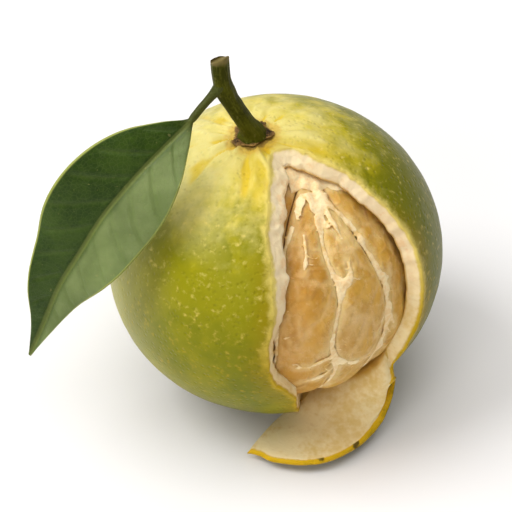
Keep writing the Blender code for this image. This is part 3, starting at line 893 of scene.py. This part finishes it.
def make_leaf(material):
    """A stalk that flattens into the blade, which is folded at the midrib, veined and wavy at its rim."""
    rings = 260
    piece = new_ball("leaf_lamina", rings, 128)
    ring, angle, _ = rings_of(piece, rings)
    node = spline_point(stem_points(), STEM_NODE_AT)
    path = [node + Vector(point) * MM for point in LEAF_PATH]
    shares, here, ahead = tube_frames(path, rings + 1, 0.02)
    lengths = np.concatenate([[0], np.cumsum(np.linalg.norm(np.diff(here, axis=0), axis=1))])
    shares = lengths / lengths[-1]
    facing = np.array(BLADE_FACING)
    side = unit(np.cross(ahead, facing))
    face = np.cross(side, ahead)
    share = shares[ring]
    blade = np.clip((share - BLADE_START) / (1 - BLADE_START), 0, 1)
    stalk = bell(blade, STALK_FADE)
    stalk_radius = 0.9 * PETIOLE_RADIUS * (1 + 0.8 * bell(share, 0.035))
    width = np.maximum(blade_half_width(blade), np.maximum(stalk_radius * stalk, LEAST_HALF_WIDTH))
    thick = np.maximum(stalk_radius * stalk, BLADE_HALF_THICKNESS)
    closed = rounded(np.minimum(ring, rings - ring), 4)
    width = width * closed
    thick = thick * closed
    # More points near the midrib and evenly spread over the blade.
    across = np.cos(angle)
    flat = 2 * np.arcsin(np.clip(across, -1, 1)) / pi
    across = across * stalk + (0.75 * flat + 0.25 * flat**3) * (1 - stalk)
    out = width * across
    out *= 1 - 0.08 * (out < 0)
    top = np.sign(np.sin(angle))
    body = np.sqrt(np.clip(1 - across**2, 0, 1))
    blunt = np.clip(1.2 * np.sqrt(np.clip(1 - np.abs(across) ** 6, 0, 1)), 0, 1)
    body = body * stalk + blunt * (1 - stalk)
    veins = vein_height(out, blade, width)
    groove = bell(out, 0.55 * MM) * (1 - stalk)
    relief = (VEIN_DEPTH * veins - MIDRIB_DEPTH * groove) * (1 - stalk)
    edge = np.abs(across) ** 3
    wave = WAVE_HEIGHT * edge * np.sin(blade * WAVES + 1.5 * np.sign(out)) * np.sin(pi * blade) * (1 - stalk)
    fold = radians(BLADE_FOLD)
    droop = BLADE_DROOP * (np.abs(out) / BLADE_HALF_WIDTH) ** 2
    rise = (np.abs(out) * sin(fold) - droop) * (1 - stalk)
    bottom_rib = -RIB_HEIGHT * bell(out, 0.5 * MM) * (1 - blade) * (1 - stalk) * (top < 0)
    height = rise + relief + wave + bottom_rib
    height += thick * np.sin(angle) * stalk + thick * top * body * (1 - stalk)
    spots = here[ring] + side[ring] * (out * cos(fold))[:, None] + face[ring] * height[:, None]
    spots += face[ring] * (roughness(spots, LEAF_RELIEF) * (1 - stalk))[:, None]
    move_to(piece, spots)
    keep_values(piece, out_mm=out / MM, along=blade, rim=np.abs(across), vein=veins, stalk=stalk)
    faces_outwards(piece)
    finish_piece(piece, material, ["leaf"])


def vein_height(out, blade, width):
    """-1 in a side vein and 0 between them. They run forwards from the midrib and bend up near the rim."""
    reach = np.abs(out) / BLADE_HALF_WIDTH
    place = blade * 10.5 - 1.7 * reach + 0.5 * reach**2.5 + 0.35 * (out > 0)
    phase = np.abs((place % 1) - 0.5) * 2
    inside = smooth_step(reach, 0.03, 0.12) * smooth_step(width - np.abs(out), 0, 1.6 * MM)
    return -bell(1 - phase, 0.16) * inside


# ---------------------------------------------------------------- materials


class Wiring:
    """A short way to lay shader nodes in one material or group."""

    def __init__(self, tree):
        self.tree = tree

    def node(self, kind, **settings):
        made = self.tree.nodes.new(kind)
        for key, value in settings.items():
            setattr(made, key, value)
        return made

    def put(self, socket, value):
        if isinstance(value, bpy.types.NodeSocket):
            self.tree.links.new(value, socket)
        elif value is not None:
            socket.default_value = (*value, 1) if socket.type == "RGBA" and len(value) == 3 else value

    def attribute(self, name):
        return self.node("ShaderNodeAttribute", attribute_name=name).outputs["Fac"]

    def place(self, scale=(1, 1, 1), turn=(0, 0, 0)):
        coordinates = self.node("ShaderNodeTexCoord").outputs["Object"]
        mapping = self.node("ShaderNodeMapping")
        self.put(mapping.inputs["Vector"], coordinates)
        mapping.inputs["Scale"].default_value = scale
        mapping.inputs["Rotation"].default_value = turn
        return mapping.outputs["Vector"]

    def noise(self, vector, scale, detail=3.0, roughness=0.55, distortion=0.0):
        made = self.node("ShaderNodeTexNoise")
        self.put(made.inputs["Vector"], vector)
        self.put(made.inputs["Scale"], scale)
        made.inputs["Detail"].default_value = detail
        made.inputs["Roughness"].default_value = roughness
        made.inputs["Distortion"].default_value = distortion
        return made.outputs["Fac"]

    def stray(self, amount, *settings):
        """Noise that strays to both sides of zero."""
        return self.times(self.maths("SUBTRACT", self.noise(*settings), 0.5), amount)

    def voronoi(self, vector, scale, feature="F1", randomness=1.0):
        made = self.node("ShaderNodeTexVoronoi", feature=feature)
        self.put(made.inputs["Vector"], vector)
        self.put(made.inputs["Scale"], scale)
        made.inputs["Randomness"].default_value = randomness
        return made.outputs["Distance"]

    def range(self, value, low, high, to_low=0.0, to_high=1.0, smooth=True):
        made = self.node("ShaderNodeMapRange", interpolation_type="SMOOTHSTEP" if smooth else "LINEAR")
        self.put(made.inputs["Value"], value)
        for key, number in (("From Min", low), ("From Max", high), ("To Min", to_low), ("To Max", to_high)):
            made.inputs[key].default_value = number
        return made.outputs["Result"]

    def maths(self, operation, first, second=None):
        made = self.node("ShaderNodeMath", operation=operation)
        self.put(made.inputs[0], first)
        self.put(made.inputs[1], second)
        return made.outputs[0]

    def times(self, *values):
        result = values[0]
        for value in values[1:]:
            result = self.maths("MULTIPLY", result, value)
        return result

    def plus(self, *values):
        result = values[0]
        for value in values[1:]:
            result = self.maths("ADD", result, value)
        return result

    def mix(self, share, first, second, blend="MIX"):
        made = self.node("ShaderNodeMix", data_type="RGBA", blend_type=blend)
        self.put(made.inputs["Factor"], share)
        self.put(made.inputs[6], first)
        self.put(made.inputs[7], second)
        return made.outputs[2]

    def layers(self, colour, *laid):
        """A colour with others laid over it in turn: (where, how strongly, which colour)."""
        for mask, strength, over in laid:
            colour = self.mix(self.times(mask, strength), colour, over)
        return colour

    def axes(self, vector):
        made = self.node("ShaderNodeSeparateXYZ")
        self.put(made.inputs[0], vector)
        return made.outputs

    def group(self, tree, **values):
        made = self.node("ShaderNodeGroup", node_tree=tree)
        for key, value in values.items():
            self.put(made.inputs[key], value)
        return made.outputs

    def mottle(self, place, size, fine, dark, pale):
        return self.group(MOTTLE, Vector=place, Size=size, Fine=fine, Dark=dark, Pale=pale)["Color"]

    def finish(self, shader, colour, roughness, height, strength, distance):
        """Joins the colour, the roughness and the small relief to the shader."""
        bump = self.node("ShaderNodeBump")
        bump.inputs["Strength"].default_value = strength
        bump.inputs["Distance"].default_value = distance
        self.put(bump.inputs["Height"], height)
        self.put(shader.inputs["Base Color"], colour)
        self.put(shader.inputs["Roughness"], roughness)
        self.put(shader.inputs["Normal"], bump.outputs["Normal"])


VECTOR, NUMBER, COLOUR = "NodeSocketVector", "NodeSocketFloat", "NodeSocketColor"


def new_group(name, inputs, outputs):
    tree = bpy.data.node_groups.new(name, "ShaderNodeTree")
    for key, kind, value in inputs:
        socket = tree.interface.new_socket(name=key, in_out="INPUT", socket_type=kind)
        if value is not None:
            socket.default_value = value
    for key, kind in outputs:
        tree.interface.new_socket(name=key, in_out="OUTPUT", socket_type=kind)
    wiring = Wiring(tree)
    return tree, wiring, wiring.node("NodeGroupInput").outputs, wiring.node("NodeGroupOutput").inputs


def mottle_group():
    """Soft uneven blotches between two colours, with finer speckle over them."""
    tree, w, given, result = new_group(
        "mottle",
        [("Vector", VECTOR, None), ("Size", NUMBER, 100.0), ("Fine", NUMBER, 0.35),
         ("Dark", COLOUR, (0, 0, 0, 1)), ("Pale", COLOUR, (1, 1, 1, 1))],
        [("Color", COLOUR), ("Mask", NUMBER)],
    )
    broad = w.noise(given["Vector"], given["Size"], 4.0, 0.5)
    speckle = w.stray(given["Fine"], given["Vector"], w.times(given["Size"], 7.0), 3.0, 0.5)
    mask = w.range(w.plus(broad, speckle), 0.34, 0.66)
    w.put(result["Color"], w.mix(mask, given["Dark"], given["Pale"]))
    w.put(result["Mask"], mask)
    return tree


def pores_group():
    """The small sunken oil glands of citrus skin, as a height and a mask of their middles."""
    tree, w, given, result = new_group(
        "pores",
        [("Vector", VECTOR, None), ("Size", NUMBER, 900.0)],
        [("Height", NUMBER), ("Mask", NUMBER)],
    )
    cells = w.voronoi(given["Vector"], given["Size"], randomness=0.85)
    waves = w.noise(given["Vector"], w.times(given["Size"], 0.45), 2.0, 0.5)
    w.put(result["Height"], w.plus(w.range(cells, 0.05, 0.42), w.times(waves, 0.6)))
    w.put(result["Mask"], w.range(cells, 0.3, 0.05))
    return tree


def fibres_group():
    """The felted fibres of pith and membrane, as a mask of pale threads and a height."""
    tree, w, given, result = new_group(
        "fibres",
        [("Vector", VECTOR, None), ("Size", NUMBER, 500.0)],
        [("Mask", NUMBER), ("Height", NUMBER)],
    )
    warp = w.node("ShaderNodeTexNoise")
    w.put(warp.inputs["Vector"], given["Vector"])
    w.put(warp.inputs["Scale"], w.times(given["Size"], 0.5))
    bent = w.node("ShaderNodeVectorMath", operation="MULTIPLY_ADD")
    w.put(bent.inputs[0], warp.outputs["Color"])
    bent.inputs[1].default_value = (0.0016, 0.0016, 0.0016)
    w.put(bent.inputs[2], given["Vector"])
    lines = w.voronoi(bent.outputs["Vector"], given["Size"], "DISTANCE_TO_EDGE")
    soft = w.noise(given["Vector"], w.times(given["Size"], 2.5), 5.0, 0.5)
    threads = w.range(lines, 0.16, 0.0)
    w.put(result["Mask"], threads)
    w.put(result["Height"], w.plus(w.times(threads, 0.6), w.times(soft, 0.8)))
    return tree


MOTTLE = mottle_group()
PORES = pores_group()
FIBRES = fibres_group()


def new_material(name, **settings):
    """A material with its shader, whose plain settings are put straight on the shader."""
    material = bpy.data.materials.new(name)
    material.use_nodes = True
    wiring = Wiring(material.node_tree)
    shader = material.node_tree.nodes["Principled BSDF"]
    for key, value in settings.items():
        shader.inputs[key.replace("_", " ")].default_value = value
    return material, wiring, shader


def rind_material():
    """Waxy green-yellow skin outside, a yellow line at the torn edge, and cream pith inside."""
    material, w, shader = new_material(
        "rind", Subsurface_Weight=0.1, Subsurface_Radius=(1.0, 0.7, 0.25), Subsurface_Scale=0.0012,
        Coat_Roughness=0.3, Specular_IOR_Level=0.14, Specular_Tint=(1.0, 0.93, 0.45, 1.0),
    )
    place = w.place()
    x, y, z = w.axes(place)
    depth = w.attribute("depth_mm")
    edge = w.attribute("edge_mm")
    stem = w.attribute("stem_mm")
    flap = w.attribute("flap")
    ridge = w.attribute("ridge")
    upper = w.range(z, 0.024, 0.044)
    edge_colour = w.mix(upper, (0.55, 0.36, 0.012), (0.74, 0.6, 0.16))
    edge_colour = w.mix(flap, edge_colour, (0.7, 0.43, 0.012))

    # The skin: darker green low down and on the right as painted shade, yellower round the stem and paler
    # there partly as a painted sheen, golden at the torn edge.
    shaded = w.range(w.plus(x, w.times(w.noise(place, 60.0), 0.016)), 0.004, 0.034)
    blotches = w.times(w.noise(place, 200.0, 4.0, 0.6, 0.4), 0.8)
    yellow = w.range(w.plus(w.range(stem, 5.0, 27.0, 0.6, 0.0, False), blotches), 0.5, 0.95)
    patches = w.times(w.noise(place, 300.0, 4.0), 0.6)
    # Paler round the stem, out over the top: partly the skin's own paler colour, partly a painted sheen.
    pale = w.range(w.plus(w.range(stem, 4.0, 28.0, 0.55, 0.0, False), patches), 0.42, 0.85)
    right_front = w.times(w.range(x, -0.009, -0.001), w.range(y, 0.002, -0.006))
    warm = w.times(right_front, w.range(stem, 22.0, 8.0))
    # Painted highlight: a pale patch high on the skin's upper left.
    painted_highlight = w.times(w.range(z, 0.043, 0.051), w.range(x, -0.006, -0.016))
    # A darker ochre band beside the window, lower down: partly the skin's ochre tone, partly painted shade
    # where it turns away from the light.
    rim = w.range(w.plus(edge, w.times(w.noise(place, 160.0), 6.0)), 9.0, 3.0)
    beside = w.times(rim, w.range(z, 0.052, 0.042))
    near_edge = w.range(w.plus(edge, w.times(w.noise(place, 500.0, 4.0, 0.6), 3.5)), 3.6, 1.4)
    corky = w.plus(stem, w.stray(3.5, place, 420.0, 4.0, 0.6))
    pores = w.group(PORES, Vector=place, Size=900.0)
    freckle = w.range(w.noise(place, 1500.0, 2.0), 0.6, 0.72)
    skin_colour = w.layers(
        w.mottle(place, 48.0, 0.25, (0.15, 0.165, 0.002), (0.27, 0.255, 0.004)),
        (shaded, 0.65, (0.115, 0.125, 0.002)),
        (yellow, 0.9, (0.62, 0.5, 0.012)),
        (pale, 0.8, (0.82, 0.71, 0.26)),
        (warm, 0.9, (0.6, 0.44, 0.015)),
        (painted_highlight, 0.4, (0.84, 0.76, 0.36)),
        # Painted light: the skin paler on the fruit's left side, towards the key lamp.
        (w.range(x, -0.016, -0.03), 0.5, (0.5, 0.47, 0.17)),
        (beside, 0.55, (0.3, 0.2, 0.003)),
        # Painted shade: the skin darker towards the table.
        (w.range(z, 0.018, 0.003), 0.75, (0.075, 0.075, 0.001)),
        (near_edge, 0.85, edge_colour),
        # Painted highlight on the tops of the wrinkles round the stem, with deeper yellow between them.
        (w.range(ridge, 0.1, 0.55), 0.45, (0.82, 0.74, 0.3)),
        (w.range(ridge, -0.1, -0.5), 0.75, (0.66, 0.46, 0.006)),
        (w.range(corky, 5.6, 4.2), 0.6, (0.6, 0.34, 0.03)),
        (w.range(corky, 4.0, 3.2), 0.7, (0.14, 0.07, 0.02)),
        (pores["Mask"], 0.08, (0.06, 0.08, 0.002)),
        (freckle, 0.1, (0.5, 0.47, 0.06)),
    )

    # The pith: cream, whiter and blushed high up, stained in places, and amber on the inside of the wall as a
    # painted glow of light through the peel and painted shade in the gap.
    fibres = w.group(FIBRES, Vector=place, Size=420.0)
    stain = w.range(w.noise(place, 260.0, 4.0, 0.6), 0.6, 0.78)
    blush = w.times(w.range(w.noise(place, 330.0, 5.0, 0.65), 0.5, 0.62), upper, w.range(depth, 0.9, 1.8))
    # Painted glow and shade: amber deep on the wall's inner side, away from the flap.
    inside = w.times(w.range(depth, 2.7, 3.15), w.maths("SUBTRACT", 1.0, flap))
    pith_colour = w.layers(
        w.mottle(place, 130.0, 0.5, (0.76, 0.56, 0.22), (0.88, 0.73, 0.42)),
        (fibres["Mask"], 0.06, (0.92, 0.84, 0.62)),
        (stain, 0.4, (0.56, 0.34, 0.07)),
        (upper, 0.7, (0.95, 0.8, 0.56)),
        (blush, 0.6, (0.84, 0.55, 0.27)),
        (inside, 0.7, (0.62, 0.38, 0.04)),
    )
    uneven_depth = w.plus(depth, w.stray(0.6, place, 900.0))
    colour = w.mix(w.range(uneven_depth, 0.02, 0.25), skin_colour, edge_colour)
    colour = w.mix(w.range(uneven_depth, 0.35, 0.9), colour, pith_colour)
    for spot in FLAP_SCARS:
        apart = w.node("ShaderNodeVectorMath", operation="DISTANCE")
        w.put(apart.inputs[0], w.place((1, 1, 0)))
        apart.inputs[1].default_value = (*spot, 0)
        scar = w.range(w.plus(apart.outputs["Value"], w.times(w.noise(place, 900.0), 0.0016)), 0.0017, 0.0012)
        colour = w.mix(w.times(scar, w.range(depth, 0.9, 0.4), 0.85), colour, (0.035, 0.025, 0.012))

    is_pith = w.range(depth, 0.2, 0.8)
    skin_rough = w.plus(0.34, w.times(w.noise(place, 600.0), 0.16))
    rough = w.maths("MAXIMUM", skin_rough, w.times(is_pith, 0.75))
    skin_height = w.times(pores["Height"], w.maths("SUBTRACT", 1.0, is_pith))
    crumbs = w.times(w.noise(place, 1300.0, 5.0, 0.7), 1.4)
    pith_height = w.times(w.plus(fibres["Height"], crumbs), is_pith, w.range(flap, 0.0, 1.0, 0.6, 0.2))
    w.put(shader.inputs["Coat Weight"], w.range(depth, 0.1, 0.5, 0.06, 0.0))
    w.finish(shader, colour, rough, w.plus(skin_height, pith_height), 0.5, 0.0002)
    return material


def membrane_material():
    """The moist, slightly see-through membrane over the juice sacs, with a net of paler fibres."""
    material, w, shader = new_material(
        "membrane", Subsurface_Weight=0.35, Subsurface_Radius=(1.0, 0.5, 0.15), Subsurface_Scale=0.0025,
        Coat_Weight=0.08, Coat_Roughness=0.35, Specular_IOR_Level=0.35,
    )
    place = w.place()
    fibres = w.group(FIBRES, Vector=place, Size=300.0)
    broken = w.range(w.noise(place, 240.0, 3.0), 0.4, 0.6)
    uneven = w.range(w.noise(place, 200.0, 4.0, 0.6), 0.3, 0.6, 0.15, 1.0)
    chalk = w.times(w.noise(place, 420.0, 4.0, 0.65), 0.7)
    chalky = w.range(w.plus(w.attribute("furrow"), chalk), 0.85, 1.3)
    web = w.range(w.plus(w.attribute("pale"), w.stray(1.3, place, 350.0, 5.0, 0.7)), 0.35, 0.95)
    grains = w.range(w.noise(place, 620.0, 5.0, 0.7), 0.5, 0.66)
    sac = w.range(w.voronoi(w.place((1, 1, 0.35)), 700.0), 0.1, 0.7)
    colour = w.layers(
        w.mottle(place, 110.0, 0.3, (0.5, 0.26, 0.028), (0.67, 0.385, 0.06)),
        (w.times(fibres["Mask"], broken), 0.14, (0.86, 0.62, 0.27)),
        (w.times(w.attribute("vein"), uneven), 0.5, (0.88, 0.66, 0.32)),
        (w.times(w.attribute("fine_vein"), uneven), 0.2, (0.84, 0.6, 0.26)),
        (chalky, 0.5, (0.88, 0.7, 0.4)),
        (web, 0.55, (0.88, 0.67, 0.33)),
        (grains, 0.35, (0.86, 0.62, 0.28)),
        (w.maths("SUBTRACT", 1.0, sac), 0.16, (0.6, 0.3, 0.03)),
    )
    # Painted shade: the membrane darker on the ball's left, in the torn wall's shadow.
    painted_shade_on_left = w.range(w.plus(w.axes(place)["X"], w.times(w.noise(place, 150.0), 0.008)), 0.016, 0.006)
    colour = w.mix(w.times(painted_shade_on_left, 0.6), colour, (0.83, 0.67, 0.45), "MULTIPLY")
    rough = w.plus(0.42, w.times(w.noise(place, 500.0), 0.2))
    height = w.plus(w.times(fibres["Height"], 0.8), w.times(sac, 0.4), w.times(grains, 0.5))
    w.finish(shader, colour, rough, height, 0.5, 0.0003)
    return material


def pith_material():
    """Soft white strands with creamier, thinner places."""
    material, w, shader = new_material(
        "pith_strands", Subsurface_Weight=0.25, Subsurface_Radius=(0.7, 0.6, 0.5), Subsurface_Scale=0.0005,
        Specular_IOR_Level=0.12,
    )
    place = w.place()
    fibres = w.group(FIBRES, Vector=place, Size=600.0)
    base = w.mottle(place, 330.0, 0.7, (0.88, 0.63, 0.32), (0.95, 0.76, 0.45))
    colour = w.layers(base, (fibres["Mask"], 0.5, (0.95, 0.8, 0.52)))
    thin = w.plus(w.attribute("high_mm"), w.stray(0.7, place, 500.0, 4.0, 0.6))
    colour = w.mix(w.range(thin, 0.32, 0.08), colour, (0.76, 0.5, 0.16))
    w.finish(shader, colour, w.plus(0.65, w.times(fibres["Mask"], 0.15)), fibres["Height"], 0.3, 0.0001)
    return material


def calyx_material():
    """Dry brown scales, almost black in the middle and tan at their rims."""
    material, w, shader = new_material("dry_calyx", Specular_IOR_Level=0.2)
    place = w.place()
    base = w.mottle(place, 420.0, 0.8, (0.03, 0.018, 0.008), (0.17, 0.09, 0.025))
    uneven = w.plus(w.attribute("rim"), w.times(w.noise(place, 600.0), 0.5))
    colour = w.layers(base, (w.range(uneven, 1.0, 1.35), 0.85, (0.45, 0.26, 0.07)))
    fibres = w.group(FIBRES, Vector=place, Size=900.0)
    w.finish(shader, colour, w.plus(0.6, w.times(fibres["Mask"], 0.2)), fibres["Height"], 0.7, 0.0003)
    return material


def bark_material():
    """Green bark with pale lengthwise lines and small corky specks, brown at the foot and the cut end."""
    material, w, shader = new_material(
        "green_bark", Specular_IOR_Level=0.1, Specular_Tint=(1.0, 0.95, 0.4, 1.0)
    )
    place = w.place()
    along = w.attribute("along")
    streak_place = w.node("ShaderNodeCombineXYZ")
    w.put(streak_place.inputs["X"], w.times(w.attribute("around"), 6.0))
    w.put(streak_place.inputs["Y"], w.times(along, 3.0))
    streaks = w.noise(streak_place.outputs["Vector"], 2.4, 4.0, 0.7)
    specks = w.range(w.voronoi(w.place((1, 1, 0.55)), 900.0), 0.22, 0.12)
    grain = w.noise(place, 500.0)
    colour = w.layers(
        w.mottle(place, 260.0, 0.6, (0.03, 0.033, 0.001), (0.065, 0.068, 0.003)),
        (w.range(streaks, 0.45, 0.75), 0.4, (0.17, 0.17, 0.025)),
        (specks, 0.15, (0.26, 0.22, 0.08)),
        (w.range(w.plus(along, w.times(grain, 0.04)), 0.955, 0.99), 0.8, (0.2, 0.15, 0.055)),
        (w.range(w.plus(along, w.times(grain, 0.06)), 0.075, 0.02), 0.75, (0.22, 0.13, 0.04)),
    )
    height = w.plus(streaks, w.times(specks, 0.2))
    w.finish(shader, colour, w.plus(0.48, w.times(streaks, 0.2)), height, 0.4, 0.0002)
    return material


def leaf_material():
    """Waxy deep green with a painted sheen over the right half of the blade, paler along the veins and at the
    thin rim.
    """
    material, w, shader = new_material(
        "waxy_leaf", Coat_Weight=0.05, Coat_Roughness=0.4, Subsurface_Weight=0.06,
        Subsurface_Radius=(0.4, 1.0, 0.2), Subsurface_Scale=0.0006, Specular_IOR_Level=0.15,
    )
    place = w.place()
    out = w.attribute("out_mm")
    # Painted sheen: the right half of the blade paler and greyer green.
    painted_sheen = w.times(w.range(out, 0.2, -1.5), w.range(w.noise(place, 160.0, 3.0), 0.3, 0.7, 0.6, 1.0))
    netting = w.range(w.voronoi(place, 1300.0, "DISTANCE_TO_EDGE"), 0.1, 0.0)
    spots = w.range(w.noise(place, 900.0, 2.0), 0.68, 0.74)
    colour = w.layers(
        w.mottle(place, 140.0, 0.5, (0.022, 0.05, 0.004), (0.04, 0.078, 0.007)),
        (painted_sheen, 0.75, (0.24, 0.3, 0.11)),
        (w.maths("ABSOLUTE", w.attribute("vein")), 0.22, (0.12, 0.18, 0.04)),
        (w.range(w.maths("ABSOLUTE", out), 0.6, 0.25), 0.65, (0.2, 0.24, 0.06)),
        (w.range(w.attribute("rim"), 0.94, 0.98), 0.8, (0.4, 0.43, 0.1)),
        (w.attribute("stalk"), 0.92, (0.046, 0.05, 0.002)),
        (netting, 0.14, (0.14, 0.2, 0.05)),
        (spots, 0.35, (0.3, 0.28, 0.1)),
    )
    height = w.plus(w.times(netting, -0.5), w.times(w.noise(place, 800.0, 3.0), 0.9))
    w.finish(shader, colour, w.plus(0.34, w.times(w.noise(place, 350.0), 0.14)), height, 0.35, 0.0002)
    return material


def floor_material():
    material, w, shader = new_material("pale_floor", Roughness=0.9)
    base = w.mottle(w.place(), 3.0, 0.2, (0.88, 0.872, 0.88), (0.885, 0.877, 0.885))
    w.put(shader.inputs["Base Color"], base)
    return material


# ---------------------------------------------------------------- the stage

FLOOR_SIZE = 6
# The lamps: name, place, width, power and colour.
LAMPS = [
    ("key", (-1.3, 0.05, 1.5), 1.3, 26, (1, 1, 1)),
    ("overhead", (0.0, 0.1, 1.9), 2.2, 25, (1, 1, 1)),
    ("fill", (-0.9, -1.5, 0.9), 1.2, 9, (1, 0.95, 0.87)),
]
LAMP_TARGET = (0, 0, 0.02)
ROOM_COLOUR = (1, 0.93, 0.82, 1)
ROOM_STRENGTH = 0.2
LENS = 135
SENSOR_WIDTH = 36
CAMERA_AIM = Vector((-3.5, 0, 26.96)) * MM
CAMERA_AWAY = 357 * MM
CAMERA_HEIGHT = radians(42)


def make_floor():
    deselect()
    bpy.ops.mesh.primitive_plane_add(size=FLOOR_SIZE)
    floor = added("floor")
    floor.data.materials.append(floor_material())


def aimed(thing, spot, target):
    thing.location = spot
    thing.rotation_euler = (Vector(target) - Vector(spot)).to_track_quat("-Z", "Y").to_euler()


def make_light(name, spot, size, power, colour):
    light = bpy.data.lights.new(name, "AREA")
    light.shape = "DISK"
    light.size = size
    light.energy = power
    light.color = colour
    lamp = bpy.data.objects.new(name, light)
    bpy.context.scene.collection.objects.link(lamp)
    aimed(lamp, spot, LAMP_TARGET)


def make_stage():
    make_floor()
    for lamp in LAMPS:
        make_light(*lamp)
    world = bpy.data.worlds.new("studio")
    world.use_nodes = True
    room = world.node_tree.nodes["Background"]
    room.inputs["Color"].default_value = ROOM_COLOUR
    room.inputs["Strength"].default_value = ROOM_STRENGTH
    bpy.context.scene.world = world
    bpy.context.scene.view_settings.view_transform = "Standard"

    lens = bpy.data.cameras.new("camera")
    lens.lens = LENS
    lens.sensor_width = SENSOR_WIDTH
    lens.clip_start = 0.01
    camera = bpy.data.objects.new("camera", lens)
    bpy.context.scene.collection.objects.link(camera)
    towards = Vector((0, -cos(CAMERA_HEIGHT), sin(CAMERA_HEIGHT)))
    aimed(camera, CAMERA_AIM + CAMERA_AWAY * towards, CAMERA_AIM)
    bpy.context.scene.camera = camera


# ---------------------------------------------------------------- making it all

deselect()
make_peel(rind_material())
membrane = membrane_material()
for number in range(len(SEGMENT_SPANS)):
    make_segment(number, membrane)
make_pith_net(pith_material())
make_calyx(calyx_material())
make_stem(bark_material())
make_leaf(leaf_material())
make_stage()
